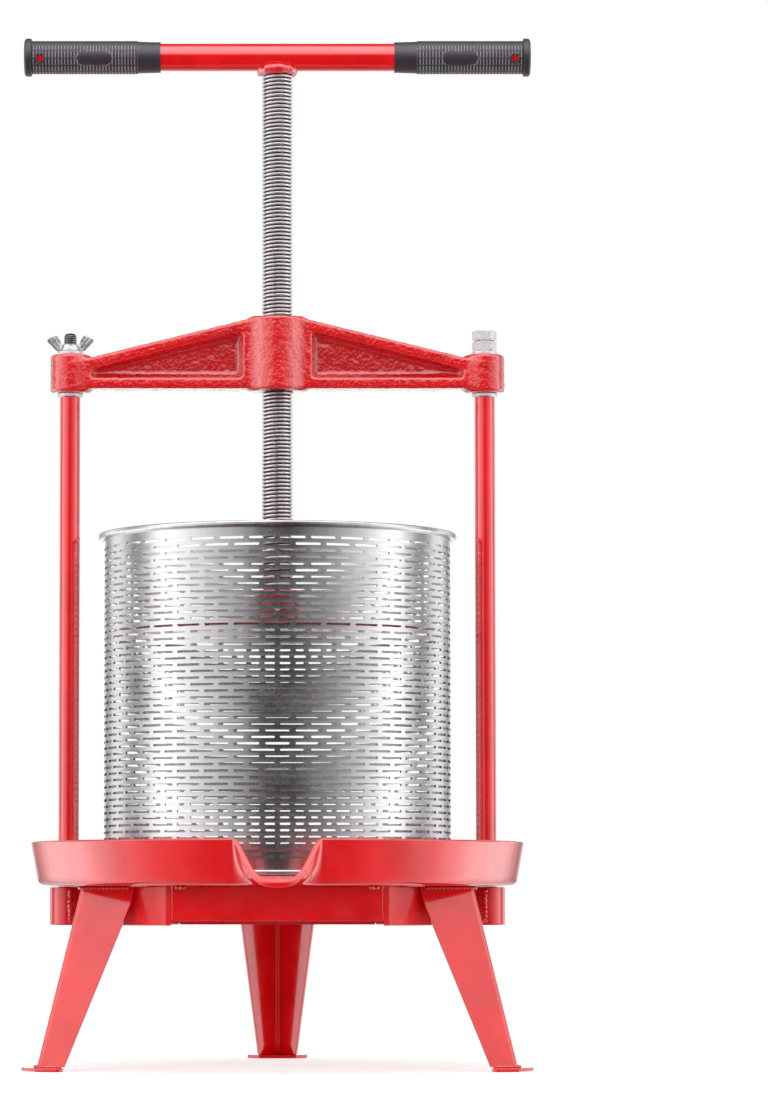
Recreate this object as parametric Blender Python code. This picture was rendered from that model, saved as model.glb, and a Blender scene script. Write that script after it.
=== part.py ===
"""Hand-cranked fruit press: a perforated drum on a juice tray, squeezed by a screw through a cast beam.

Lengths are in metres. Z is up, X runs along the beam and -Y is the spout's side.
The origin is on the screw's axis, at floor level.
"""

import math

import bmesh
import bpy
from mathutils import Matrix, Vector

# Clearances
GAP = 0.0003
CUT_OVERRUN = 0.004

# Rounding of turned pieces
LARGE_STEPS = 40
MEDIUM_STEPS = 24
SMALL_STEPS = 16
SMOOTH_ANGLE = math.radians(35)

# Tray: a pressed dish with a raised floor and a pouring lip
TRAY_BASE_HEIGHT = 0.1395
TRAY_MARGIN = 0.0223
TRAY_DEPTH = 0.0344
TRAY_WALL_FLARE = 0.005
TRAY_CORNER_RADIUS = 0.008
TRAY_CORNER_STEPS = 3
TRAY_PLATE = 0.0025
TRAY_STEPS = 42
PLATEAU_MARGIN = 0.007
PLATEAU_RISE = 0.0047
PLATEAU_SLOPE_RUN = 0.004
SPOUT_HALF_WIDTH = 0.034
SPOUT_REACH = 0.0237
SPOUT_LIP_DROP = 0.0015
SPOUT_STEPS = 14
SPOUT_FULLNESS = 3.0
SPOUT_FLARE = 1.7

# Basket: a slotted sheet rolled into an open drum
BASKET_RADIUS = 0.1355
BASKET_HEIGHT = 0.2676
BASKET_WALL = 0.0015
BASKET_TOP_BAND = 0.014
BASKET_FOOT_BAND = 0.012
SLOT_ROWS = 10
SLOTS_AROUND = 24
SLOT_HEIGHT = 0.003
SLOT_WIDTH_SHARE = 0.833
RIM_WIDTH = 0.0042
RIM_HEIGHT = 0.0042
HOOP_WIDTH = 0.0036
HOOP_HEIGHT = 0.0044
BEAD_ROUNDING = 0.0012

# Tie posts, with a stud turned on the upper end
POST_CLEARANCE = 0.015
POST_RADIUS = 0.008
POST_SHOULDER_WIDTH = 0.003
POST_CHAMFER = 0.0008
STUD_CROWN = 0.0025
SOCKET_WALL = 0.0065

# Flat-bar frame under the tray
BAR_THICKNESS = 0.004
BAR_HEIGHT = 0.0295
APRON_HEIGHT = 0.0260

# Legs of tapered angle section
LEG_ANGLES_DEGREES = {"rear": 90, "front_left": 210, "front_right": 330}
LEG_SETBACK = 0.0151
LEG_SPLAY = 0.0376
LEG_TOP_FLANGE = 0.0437
LEG_FOOT_FLANGE = 0.0226
LEG_THICKNESS = 0.0025
LEG_BEND_RADIUS = 0.004
LEG_PARALLEL_HEIGHT = 0.0135
LEG_HALF_ANGLE = math.radians(47)

# Foot pads: plates that are widest between a cut-off point and a narrower inner side
PAD_THICKNESS = 0.003
PAD_DEPTH = 0.023
PAD_POINT_DEPTH = 0.012
PAD_CHEEK_DEPTH = 0.0165
PAD_POINT_WIDTH = 0.023
PAD_WIDTH = 0.049
PAD_HEEL_WIDTH = 0.030
PAD_CORNER = 0.003

# Cast beam
BEAM_CLEARANCE = 0.1146
BEAM_DEPTH = 0.026
BEAM_WEB = 0.009
BEAM_HUB_WALL = 0.0105
BEAM_HUB_HEIGHT = 0.0577
BEAM_HUB_DROP = 0.001
BEAM_SHOULDER_HALF = 0.019
BEAM_TOP_RISE = 0.0562
BEAM_END_RISE = 0.024
BEAM_TIP_RISE = 0.021
BEAM_END_SETBACK = 0.013
BEAM_TIP_SETBACK = 0.003
BEAM_EDGE_ROUNDING = 0.002
BOSS_WALL = 0.01075
BOSS_HEIGHT = 0.030
BOSS_DROP = 0.0025
CAST_CHAMFER = 0.0015
POCKET_HUB_MARGIN = 0.0045
POCKET_BOSS_MARGIN = 0.001
POCKET_FLOOR_FLANGE = 0.0085
POCKET_TOP_FLANGE = 0.0085
POCKET_CORNER = 0.0025
POCKET_CORNER_STEPS = 3
POCKET_DRAFT = 0.003

# Fasteners on the studs
WASHER_THICKNESS = 0.0024
WASHER_BAND = 0.0053
SMALL_WASHER_BAND = 0.005
NUT_WALL = 0.0035
NUT_HEIGHT = 0.008
NUT_CHAMFER = 0.0010
NUT_SIDES = 6
STUD_PROUD = 0.0003
WING_HUB_WALL = 0.003
WING_HUB_TAPER = 0.0013
WING_HUB_HEIGHT = 0.0055
WING_THICKNESS = 0.003
WING_SPAN = 0.0185
WING_RISE = 0.0132
WING_EDGE_ROUNDING = 0.0007
WING_OUTLINE_SHARES = [
    (0.335, 0.045), (0.557, 0.045), (0.784, 0.348), (1.0, 0.652), (0.984, 0.727),
    (0.66, 0.985), (0.60, 1.0), (0.465, 0.606), (0.335, 0.348),
]
WING_STUD_PROUD = 0.001

# Screw spindle and thrust hub
SPINDLE_RADIUS = 0.012
SPINDLE_LENGTH = 0.4387
SPINDLE_CHAMFER = 0.0012
SPINDLE_NECK_DEPTH = 0.0025
SPINDLE_NECK_HEIGHT = 0.006
SPINDLE_NECK_RISE = 0.010
HUB_WALL = 0.006
HUB_HEIGHT = 0.0327
HUB_FLOOR = 0.0055
HUB_CHAMFER = 0.0012
PLATE_CLEARANCE = 0.003
PLATE_THICKNESS = 0.004
PLATE_EDGE_ROUNDING = 0.001
PLATE_LIFT = 0.187
SET_SCREW_RADIUS = 0.003
SET_SCREW_DOG_STEP = 0.0007
SET_SCREW_TIP_GAP = 0.0004

# Tommy bar and grips
HANDLE_HALF_LENGTH = 0.200
HANDLE_RADIUS = 0.011
HANDLE_WALL = 0.002
WELD_WIDTH = 0.004
WELD_HEIGHT = 0.0075
WELD_DROP = 0.0035
WELD_ROUNDING = 0.0015
GRIP_LENGTH = 0.1075
GRIP_END_WALL = 0.0065
GRIP_FLANGE_WALL = 0.004
GRIP_FLANGE_WIDTH = 0.0065
GRIP_FLANGE_ROUNDING = 0.002
GRIP_NECK_WALL = 0.0012
GRIP_NECK_LENGTH = 0.0177
GRIP_NECK_FLARE = 0.0005
GRIP_RIB_WALL = 0.0025
GRIP_RIB_DEPTH = 0.0006
GRIP_RIBS = 10
GRIP_VENT_RADIUS = 0.003
GRIP_VENT_SETBACK = 0.0125

# Radii that follow from the sizes above
STUD_RADIUS = POST_RADIUS - POST_SHOULDER_WIDTH
SOCKET_RADIUS = POST_RADIUS + SOCKET_WALL
POST_X = BASKET_RADIUS + GAP + RIM_WIDTH + POST_CLEARANCE + POST_RADIUS
TRAY_RIM_RADIUS = POST_X + POST_RADIUS + TRAY_MARGIN
LEG_TOP_RADIUS = TRAY_RIM_RADIUS - TRAY_WALL_FLARE - LEG_SETBACK
LEG_FOOT_RADIUS = LEG_TOP_RADIUS + LEG_SPLAY
PAD_OUTER_RADIUS = TRAY_RIM_RADIUS + SPOUT_REACH
BEAM_HUB_RADIUS = SPINDLE_RADIUS + BEAM_HUB_WALL
BOSS_RADIUS = STUD_RADIUS + BOSS_WALL
WASHER_RADIUS = STUD_RADIUS + WASHER_BAND
SMALL_WASHER_RADIUS = STUD_RADIUS + SMALL_WASHER_BAND
NUT_ACROSS_FLATS = 2 * (STUD_RADIUS + NUT_WALL)
WING_HUB_RADIUS = STUD_RADIUS + WING_HUB_WALL
HUB_RADIUS = SPINDLE_RADIUS + HUB_WALL
SPINDLE_NECK_RADIUS = SPINDLE_RADIUS - SPINDLE_NECK_DEPTH
PLATE_RADIUS = BASKET_RADIUS - BASKET_WALL - PLATE_CLEARANCE
WELD_RADIUS = SPINDLE_RADIUS + WELD_WIDTH
GRIP_NECK_RADIUS = HANDLE_RADIUS + GRIP_NECK_WALL
GRIP_RIB_RADIUS = HANDLE_RADIUS + GRIP_RIB_WALL
GRIP_FLANGE_RADIUS = HANDLE_RADIUS + GRIP_FLANGE_WALL

# Places that follow from the sizes above
TRAY_FLOOR_HEIGHT = TRAY_BASE_HEIGHT + TRAY_PLATE
TRAY_RIM_HEIGHT = TRAY_BASE_HEIGHT + TRAY_DEPTH
PLATEAU_HEIGHT = TRAY_FLOOR_HEIGHT + PLATEAU_RISE
BASKET_FOOT = PLATEAU_HEIGHT + GAP
BASKET_TOP = BASKET_FOOT + BASKET_HEIGHT
UNDER_TRAY = TRAY_BASE_HEIGHT - GAP
FRAME_FOOT = UNDER_TRAY - BAR_HEIGHT
BEAM_FOOT = BASKET_TOP + BEAM_CLEARANCE
BOSS_FOOT = BEAM_FOOT - BOSS_DROP
BOSS_TOP = BOSS_FOOT + BOSS_HEIGHT
POST_SHOULDER = BOSS_FOOT - GAP - WASHER_THICKNESS - GAP
TOP_WASHER_FOOT = BOSS_TOP + GAP
NUT_SEAT = TOP_WASHER_FOOT + WASHER_THICKNESS + GAP
LOCK_NUT_SEAT = NUT_SEAT + NUT_HEIGHT + GAP
PLATE_FOOT = BASKET_FOOT + PLATE_LIFT
HUB_FOOT = PLATE_FOOT + PLATE_THICKNESS + GAP
SPINDLE_FOOT = HUB_FOOT + HUB_FLOOR + GAP
SPINDLE_TOP = SPINDLE_FOOT + SPINDLE_LENGTH
HANDLE_HEIGHT = SPINDLE_TOP + GAP + HANDLE_RADIUS
NECK_FOOT = SPINDLE_FOOT + SPINDLE_NECK_RISE
SET_SCREW_HEIGHT = NECK_FOOT + SPINDLE_NECK_HEIGHT / 2
LEG_TIP_RADIUS = (
    LEG_TOP_RADIUS - LEG_TOP_FLANGE * math.cos(LEG_HALF_ANGLE) - LEG_THICKNESS * math.sin(LEG_HALF_ANGLE)
)
FRAME_APOTHEM = LEG_TIP_RADIUS - GAP - BAR_THICKNESS / 2
CROSS_BAR_HALF_LENGTH = (FRAME_APOTHEM - BAR_THICKNESS / 2) * math.tan(math.radians(30))

RED = ("red_enamel", (0.68, 0.012, 0.018), 0.25, 0.0)
CAST_RED = ("cast_red_enamel", (0.66, 0.012, 0.018), 0.4, 0.0)
STAINLESS = ("stainless_sheet", (0.62, 0.61, 0.63), 0.3, 1.0)
ZINC = ("zinc_plate", (0.72, 0.72, 0.74), 0.28, 1.0)
SCREW_STEEL = ("screw_steel", (0.42, 0.42, 0.43), 0.38, 1.0)
RUBBER = ("grip_rubber", (0.06, 0.058, 0.07), 0.7, 0.0)


def clear_radius(radius, steps):
    """Radius of a many-sided bore whose flats clear a round piece by the working gap."""
    return (radius + GAP) / math.cos(math.pi / steps)


def finish(name, settings):
    """A new Principled material for one object."""
    label, colour, roughness, metallic = settings
    material = bpy.data.materials.new(f"{label}_{name}")
    material.use_nodes = True
    shader = material.node_tree.nodes["Principled BSDF"]
    shader.inputs["Base Color"].default_value = (*colour, 1)
    shader.inputs["Roughness"].default_value = roughness
    shader.inputs["Metallic"].default_value = metallic
    return material


def add_object(name, bm, look, turn=Matrix(), place=(0, 0, 0)):
    """Puts a bmesh into the scene as one named object, with faces out."""
    bmesh.ops.recalc_face_normals(bm, faces=bm.faces)
    mesh = bpy.data.meshes.new(name)
    bm.to_mesh(mesh)
    bm.free()
    mesh.shade_smooth()
    mesh.set_sharp_from_angle(angle=SMOOTH_ANGLE)
    mesh.materials.append(finish(name, look))
    item = bpy.data.objects.new(name, mesh)
    item.matrix_world = Matrix.Translation(place) @ turn.to_4x4()
    bpy.context.scene.collection.objects.link(item)
    return item


def helper(name, bm, turn=Matrix(), place=(0, 0, 0)):
    """A cutter or an added body, hidden from the finished model."""
    item = add_object(name, bm, RED, turn, place)
    item.hide_render = True
    item.display_type = "WIRE"
    return item


def combine(item, operation, *others):
    """Joins helpers to an object, or cuts them from it."""
    for other in others:
        boolean = item.modifiers.new(other.name, "BOOLEAN")
        boolean.operation = operation
        boolean.solver = "EXACT"
        boolean.object = other


def turned(outline, steps, closed=False):
    """A solid of revolution about Z from (radius, height) points; a closed outline makes a ring."""
    bm = bmesh.new()
    rings = []
    for radius, height in outline:
        count = steps if radius > 0 else 1
        angles = [2 * math.pi * k / steps for k in range(count)]
        rings.append([bm.verts.new((radius * math.cos(a), radius * math.sin(a), height)) for a in angles])
    pairs = list(zip(rings, rings[1:]))
    if closed:
        pairs.append((rings[-1], rings[0]))
    for low, high in pairs:
        skin_between(bm, low, high)
    return bm


def skin_between(bm, low, high):
    """Faces between two rings, either of which may be a single point on the axis."""
    count = max(len(low), len(high))
    if count == 1:
        return
    for k in range(count):
        corners = []
        for ring, at in ((low, k), (low, k + 1), (high, k + 1), (high, k)):
            vertex = ring[at % len(ring)]
            if vertex not in corners:
                corners.append(vertex)
        bm.faces.new(corners)


def cylinder(radius, low, high, steps):
    """A plain cylinder about Z."""
    return turned([(0, low), (radius, low), (radius, high), (0, high)], steps)


def washer_ring(outer, inner, low, high, steps):
    """A plain ring about Z."""
    return turned([(outer, low), (outer, high), (inner, high), (inner, low)], steps, closed=True)


def lofted(sections):
    """A solid through closed sections of equal point counts, capped at both ends."""
    bm = bmesh.new()
    rings = [[bm.verts.new(point) for point in section] for section in sections]
    for low, high in zip(rings, rings[1:]):
        skin_between(bm, low, high)
    bm.faces.new(rings[0])
    bm.faces.new(reversed(rings[-1]))
    return bm


def prism(outline, low, high):
    """An outline in X and Y, extruded along Z."""
    return lofted([[(x, y, z) for x, y in outline] for z in (low, high)])


def upright(outline, near, far):
    """An outline in X and Z, extruded along Y."""
    return lofted([[(x, y, z) for x, z in outline] for y in (near, far)])


def inset(outline, distance):
    """A convex outline, anticlockwise, with every side moved inwards."""
    moved = []
    for k, corner in enumerate(outline):
        before, here, after = Vector(outline[k - 1]), Vector(corner), Vector(outline[(k + 1) % len(outline)])
        first, second = (here - before).normalized(), (after - here).normalized()
        normal_sum = Vector((-first.y - second.y, first.x + second.x))
        scale = distance / (1 + first.dot(second))
        moved.append(tuple(here + normal_sum * scale))
    return moved


def rounded(outline, radius, steps):
    """A convex outline, anticlockwise, with arcs at its corners."""
    points = []
    for k, corner in enumerate(outline):
        before, here, after = Vector(outline[k - 1]), Vector(corner), Vector(outline[(k + 1) % len(outline)])
        first, second = (here - before).normalized(), (after - here).normalized()
        bend = first.angle_signed(second) * -1
        run = radius * math.tan(bend / 2)
        start = here - first * run
        centre = start + Vector((-first.y, first.x)) * radius
        for step in range(steps + 1):
            arm = start - centre
            arm.rotate(Matrix.Rotation(bend * step / steps, 2))
            points.append(tuple(centre + arm))
    return points


def rectangle(left, right, near, far):
    """Corners of a rectangle, anticlockwise."""
    return [(left, near), (right, near), (right, far), (left, far)]


def polar(radius, angle):
    """A point on a circle about the screw's axis."""
    return radius * math.cos(angle), radius * math.sin(angle)


def tray_angles():
    """Directions around the tray, closer together at the spout."""
    half = math.asin(SPOUT_HALF_WIDTH / TRAY_RIM_RADIUS)
    front = -math.pi / 2
    spout = [front - half + 2 * half * k / SPOUT_STEPS for k in range(SPOUT_STEPS)]
    rest = 2 * math.pi - 2 * half
    return spout + [front + half + rest * k / TRAY_STEPS for k in range(TRAY_STEPS)]


def spout_share(angle):
    """How far the rim opens into the spout: 1 at the middle of the lip, 0 past its sides."""
    across = TRAY_RIM_RADIUS * math.cos(angle) / SPOUT_HALF_WIDTH
    if math.sin(angle) > 0 or abs(across) >= 1:
        return 0
    return (1 - abs(across) ** SPOUT_FULLNESS) ** SPOUT_FLARE


def tray_profile():
    """Radius and height of the dish's underside, from the plateau's edge to the rim."""
    foot = TRAY_BASE_HEIGHT
    plateau = BASKET_RADIUS + PLATEAU_MARGIN
    wall_foot = TRAY_RIM_RADIUS - TRAY_WALL_FLARE
    bend = wall_foot - TRAY_CORNER_RADIUS
    points = [(plateau, foot + PLATEAU_RISE), (plateau + PLATEAU_SLOPE_RUN, foot)]
    lean = math.atan(TRAY_WALL_FLARE / (TRAY_DEPTH - TRAY_CORNER_RADIUS))
    sweep = math.pi / 2 - lean
    for step in range(TRAY_CORNER_STEPS + 1):
        angle = sweep * step / TRAY_CORNER_STEPS
        points.append(
            (bend + TRAY_CORNER_RADIUS * math.sin(angle), foot + TRAY_CORNER_RADIUS * (1 - math.cos(angle)))
        )
    radius, height = points[-1]
    rim = (TRAY_RIM_RADIUS, TRAY_RIM_HEIGHT)
    return points + [((radius + rim[0]) / 2, (height + rim[1]) / 2), rim]


def tray_point(profile, index, angle):
    """A point of the dish, drawn outwards and down where the spout opens."""
    radius, height = profile[index]
    bend = 2
    if index > bend:
        along = (index - bend) / (len(profile) - 1 - bend)
        start = profile[bend][0]
        reach = TRAY_RIM_RADIUS + SPOUT_REACH - start
        share = spout_share(angle)
        radius += (start + reach * along - radius) * share
        height += (TRAY_BASE_HEIGHT - SPOUT_LIP_DROP * along - height) * share
    return (*polar(radius, angle), height)


def make_tray():
    """The juice dish, with holes for the posts."""
    bm = bmesh.new()
    profile = tray_profile()
    angles = tray_angles()
    rings = [[bm.verts.new((0, 0, profile[0][1]))]]
    for index in range(len(profile)):
        rings.append([bm.verts.new(tray_point(profile, index, angle)) for angle in angles])
    for low, high in zip(rings, rings[1:]):
        skin_between(bm, low, high)
    tray = add_sheet("tray", bm, RED, TRAY_PLATE)
    bore = clear_radius(POST_RADIUS, SMALL_STEPS)
    low, high = TRAY_BASE_HEIGHT - CUT_OVERRUN, TRAY_FLOOR_HEIGHT + CUT_OVERRUN
    holes = gathered([(cylinder(bore, low, high, SMALL_STEPS), x) for x in (-POST_X, POST_X)])
    combine(tray, "DIFFERENCE", helper("tray_holes", holes))


def add_sheet(name, bm, look, thickness):
    """A bent sheet given its thickness on the inner side of its faces."""
    mesh = bpy.data.meshes.new(name)
    bm.normal_update()
    bm.to_mesh(mesh)
    bm.free()
    mesh.shade_smooth()
    mesh.set_sharp_from_angle(angle=SMOOTH_ANGLE)
    mesh.materials.append(finish(name, look))
    item = bpy.data.objects.new(name, mesh)
    bpy.context.scene.collection.objects.link(item)
    solidify = item.modifiers.new("plate", "SOLIDIFY")
    solidify.thickness = thickness
    solidify.offset = -1
    solidify.use_even_offset = True
    return item


def make_basket():
    """The drum: brick-laid rows of long slots in a rolled sheet."""
    bm = bmesh.new()
    pitch = (BASKET_HEIGHT - BASKET_TOP_BAND - BASKET_FOOT_BAND) / SLOT_ROWS
    levels = [(BASKET_FOOT, 0)]
    for row in range(SLOT_ROWS):
        middle = BASKET_FOOT + BASKET_FOOT_BAND + pitch * (row + 0.5)
        shift = row % 2
        levels += [(middle - SLOT_HEIGHT / 2, shift), (middle + SLOT_HEIGHT / 2, shift)]
    levels.append((BASKET_TOP, (SLOT_ROWS - 1) % 2))
    columns = 2 * SLOTS_AROUND
    rings = []
    for height, shift in levels:
        shares = [(k // 2 + (k % 2) * SLOT_WIDTH_SHARE + shift / 2) / SLOTS_AROUND for k in range(columns)]
        places = [polar(BASKET_RADIUS, 2 * math.pi * share) for share in shares]
        rings.append([bm.verts.new((x, y, height)) for x, y in places])
    for index, (low, high) in enumerate(zip(rings, rings[1:])):
        turn = levels[index][1] - levels[index + 1][1]
        slot_row = index % 2 == 1
        for k in range(columns):
            if slot_row and k % 2 == 0:
                continue
            ends = (k + 1) % columns
            upper = ((k + turn) % columns, (k + 1 + turn) % columns)
            bm.faces.new((low[k], low[ends], high[upper[1]], high[upper[0]]))
    add_sheet("basket", bm, STAINLESS, BASKET_WALL)


def make_basket_bead(name, width, low, high):
    """A rounded ring that stiffens one edge of the drum."""
    inner = clear_radius(BASKET_RADIUS, LARGE_STEPS)
    edge = inner + width
    outline = [
        (inner, low), (edge - BEAD_ROUNDING, low), (edge, low + BEAD_ROUNDING),
        (edge, high - BEAD_ROUNDING), (edge - BEAD_ROUNDING, high), (inner, high),
    ]
    add_object(name, turned(outline, LARGE_STEPS, closed=True), STAINLESS)


def make_post(side, x, stud_top):
    """A tie post with a shoulder under the beam and a stud through it."""
    foot = FRAME_FOOT
    outline = [
        (0, foot), (POST_RADIUS - POST_CHAMFER, foot), (POST_RADIUS, foot + POST_CHAMFER),
        (POST_RADIUS, POST_SHOULDER - POST_CHAMFER), (POST_RADIUS - POST_CHAMFER, POST_SHOULDER),
        (STUD_RADIUS, POST_SHOULDER), (STUD_RADIUS, stud_top - STUD_CROWN),
        (STUD_RADIUS - POST_CHAMFER, stud_top - POST_CHAMFER), (0, stud_top),
    ]
    add_object(f"post_{side}", turned(outline, SMALL_STEPS), RED, place=(x, 0, 0))


def make_socket(side, x):
    """The sleeve under the tray that holds a post."""
    bore = clear_radius(POST_RADIUS, SMALL_STEPS)
    ring = washer_ring(SOCKET_RADIUS, bore, FRAME_FOOT, UNDER_TRAY, SMALL_STEPS)
    add_object(f"socket_{side}", ring, RED, place=(x, 0, 0))


def make_cross_bar(name, y, half_length, height):
    """A straight flat bar across the front or the rear of the frame."""
    outline = rectangle(-half_length, half_length, y - BAR_THICKNESS / 2, y + BAR_THICKNESS / 2)
    add_object(name, prism(outline, UNDER_TRAY - height, UNDER_TRAY), RED)


def make_side_bar(name, angle):
    """A flat bar from a socket to a cross bar, coped to the socket and mitred to the cross bar."""
    end = 1 if math.cos(angle) * math.sin(angle) > 0 else -1
    side = 1 if math.cos(angle) > 0 else -1
    face = FRAME_APOTHEM - BAR_THICKNESS / 2 - GAP
    outline = []
    for depth in (FRAME_APOTHEM - BAR_THICKNESS / 2, FRAME_APOTHEM + BAR_THICKNESS / 2):
        run = (face - depth * abs(math.sin(angle))) / abs(math.cos(angle))
        start = -abs(POST_X * math.sin(angle))
        pair = [(depth, end * start), (depth, end * run)]
        outline += pair if depth < FRAME_APOTHEM else pair[::-1]
    bar = add_object(
        name, prism(outline, FRAME_FOOT, UNDER_TRAY), RED, turn=Matrix.Rotation(angle, 3, "Z")
    )
    cope = cylinder(
        clear_radius(SOCKET_RADIUS, SMALL_STEPS),
        FRAME_FOOT - CUT_OVERRUN,
        UNDER_TRAY + CUT_OVERRUN,
        SMALL_STEPS,
    )
    combine(bar, "DIFFERENCE", helper(f"{name}_cope", cope, place=(side * POST_X, 0, 0)))


def leg_section(ridge, flange, height):
    """The angle's outline at one height, with its rounded ridge pointing along +X."""
    cosine, sine = math.cos(LEG_HALF_ANGLE), math.sin(LEG_HALF_ANGLE)
    bend_run = LEG_BEND_RADIUS * cosine / sine
    crown = ridge - LEG_BEND_RADIUS * (1 / sine - 1)
    half = [
        (ridge - bend_run * cosine, bend_run * sine),
        (ridge - flange * cosine, flange * sine),
        (ridge - flange * cosine - LEG_THICKNESS * sine, flange * sine - LEG_THICKNESS * cosine),
    ]
    root = (ridge - LEG_THICKNESS / sine, 0)
    points = [(crown, 0), *half, root, *[(x, -y) for x, y in reversed(half)]]
    return [(x, y, height) for x, y in points]


def make_leg(name, angle):
    """A splayed leg with parallel flanges at its top, which taper from there to its pad."""
    foot = PAD_THICKNESS + GAP
    shoulder_splay = LEG_SPLAY * LEG_PARALLEL_HEIGHT / (UNDER_TRAY - foot)
    sections = [
        leg_section(LEG_FOOT_RADIUS, LEG_FOOT_FLANGE, foot),
        leg_section(LEG_TOP_RADIUS + shoulder_splay, LEG_TOP_FLANGE, UNDER_TRAY - LEG_PARALLEL_HEIGHT),
        leg_section(LEG_TOP_RADIUS, LEG_TOP_FLANGE, UNDER_TRAY),
    ]
    add_object(f"leg_{name}", lofted(sections), RED, turn=Matrix.Rotation(angle, 3, "Z"))
    pad = rounded(pad_outline(), PAD_CORNER, 2)
    add_object(f"foot_pad_{name}", prism(pad, 0, PAD_THICKNESS), RED, turn=Matrix.Rotation(angle, 3, "Z"))


def pad_outline():
    """A foot pad's outline, anticlockwise, with its point along +X."""
    half = [
        (PAD_OUTER_RADIUS, PAD_POINT_WIDTH / 2), (PAD_OUTER_RADIUS - PAD_POINT_DEPTH, PAD_WIDTH / 2),
        (PAD_OUTER_RADIUS - PAD_CHEEK_DEPTH, PAD_WIDTH / 2), (PAD_OUTER_RADIUS - PAD_DEPTH, PAD_HEEL_WIDTH / 2),
    ]
    return half + [(x, -y) for x, y in reversed(half)]


def beam_outline():
    """The beam's front view without its hub and bosses, anticlockwise from the lower left."""
    tip = POST_X - BEAM_TIP_SETBACK
    end = POST_X - BEAM_END_SETBACK
    return [
        (-tip, BEAM_FOOT), (tip, BEAM_FOOT), (tip, BEAM_FOOT + BEAM_TIP_RISE),
        (end, BEAM_FOOT + BEAM_END_RISE), (BEAM_SHOULDER_HALF, BEAM_FOOT + BEAM_TOP_RISE),
        (-BEAM_SHOULDER_HALF, BEAM_FOOT + BEAM_TOP_RISE), (-end, BEAM_FOOT + BEAM_END_RISE),
        (-tip, BEAM_FOOT + BEAM_TIP_RISE),
    ]


def pocket_outline():
    """The right-hand pocket's front view, anticlockwise."""
    near = BEAM_HUB_RADIUS + POCKET_HUB_MARGIN
    far = POST_X - BOSS_RADIUS - POCKET_BOSS_MARGIN
    end = POST_X - BEAM_END_SETBACK
    slope = (BEAM_TOP_RISE - BEAM_END_RISE) / (end - BEAM_SHOULDER_HALF)
    floor = BEAM_FOOT + POCKET_FLOOR_FLANGE
    top = BEAM_FOOT + BEAM_TOP_RISE - POCKET_TOP_FLANGE
    near_top = top - slope * (near - BEAM_SHOULDER_HALF)
    far_top = top - slope * (far - BEAM_SHOULDER_HALF)
    return [(near, floor), (far, floor), (far, far_top), (near, near_top)]


def pocket_cutter(side, face):
    """A drafted cutter for one pocket: side is -1 or 1 along X, face is -1 or 1 along Y."""
    outer = rounded(pocket_outline(), POCKET_CORNER, POCKET_CORNER_STEPS)
    inner = rounded(inset(pocket_outline(), POCKET_DRAFT), POCKET_CORNER, POCKET_CORNER_STEPS)
    surface = face * BEAM_DEPTH / 2
    levels = [(outer, surface + face * CUT_OVERRUN), (outer, surface), (inner, face * BEAM_WEB / 2)]
    return lofted([[(side * x, y, z) for x, z in outline] for outline, y in levels])


def make_beam():
    """The cast beam: tapering arms with drafted pockets, a tapped hub and two end bosses."""
    bm = upright(beam_outline(), -BEAM_DEPTH / 2, BEAM_DEPTH / 2)
    bmesh.ops.recalc_face_normals(bm, faces=bm.faces)
    rims = [edge for edge in bm.edges if abs(edge.verts[0].co.y - edge.verts[1].co.y) < GAP]
    bmesh.ops.bevel(bm, geom=rims, offset=BEAM_EDGE_ROUNDING, segments=1, profile=0.5, affect="EDGES")
    beam = add_object("cross_beam", bm, CAST_RED)
    hub_foot = BEAM_FOOT - BEAM_HUB_DROP
    hub_top = hub_foot + BEAM_HUB_HEIGHT
    hub = chamfered_rod(BEAM_HUB_RADIUS, hub_foot, hub_top, CAST_CHAMFER, MEDIUM_STEPS)
    thread = clear_radius(SPINDLE_RADIUS, MEDIUM_STEPS)
    tapped = cylinder(thread, BOSS_FOOT - CUT_OVERRUN, hub_top + CUT_OVERRUN, MEDIUM_STEPS)
    added = [(hub, 0)]
    cut = [(tapped, 0)]
    for side in (-1, 1):
        boss = chamfered_rod(BOSS_RADIUS, BOSS_FOOT, BOSS_TOP, CAST_CHAMFER, MEDIUM_STEPS)
        added.append((boss, side * POST_X))
        cut.append((stud_hole(BOSS_FOOT, BOSS_TOP), side * POST_X))
        cut += [(pocket_cutter(side, face), 0) for face in (-1, 1)]
    combine(beam, "UNION", helper("beam_hub_and_bosses", gathered(added)))
    combine(beam, "DIFFERENCE", helper("beam_bores_and_pockets", gathered(cut)))


def stud_hole(low, high):
    """A cutter for a stud's clearance hole between two faces."""
    radius = clear_radius(STUD_RADIUS, SMALL_STEPS)
    return cylinder(radius, low - CUT_OVERRUN, high + CUT_OVERRUN, SMALL_STEPS)


def gathered(parts):
    """Several meshes as one, each moved along X by the distance given with it."""
    whole = bmesh.new()
    for bm, along in parts:
        bmesh.ops.translate(bm, verts=bm.verts, vec=(along, 0, 0))
        mesh = bpy.data.meshes.new("gathered")
        bm.to_mesh(mesh)
        bm.free()
        whole.from_mesh(mesh)
        bpy.data.meshes.remove(mesh)
    return whole


def chamfered_rod(radius, low, high, chamfer, steps):
    """A cylinder about Z with both rims chamfered."""
    outline = [
        (0, low), (radius - chamfer, low), (radius, low + chamfer),
        (radius, high - chamfer), (radius - chamfer, high), (0, high),
    ]
    return turned(outline, steps)


def make_washer(name, x, foot, radius):
    """A plain washer on a stud."""
    bore = clear_radius(STUD_RADIUS, SMALL_STEPS)
    ring = washer_ring(radius, bore, 0, WASHER_THICKNESS, SMALL_STEPS)
    add_object(name, ring, ZINC, place=(x, 0, foot))


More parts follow.
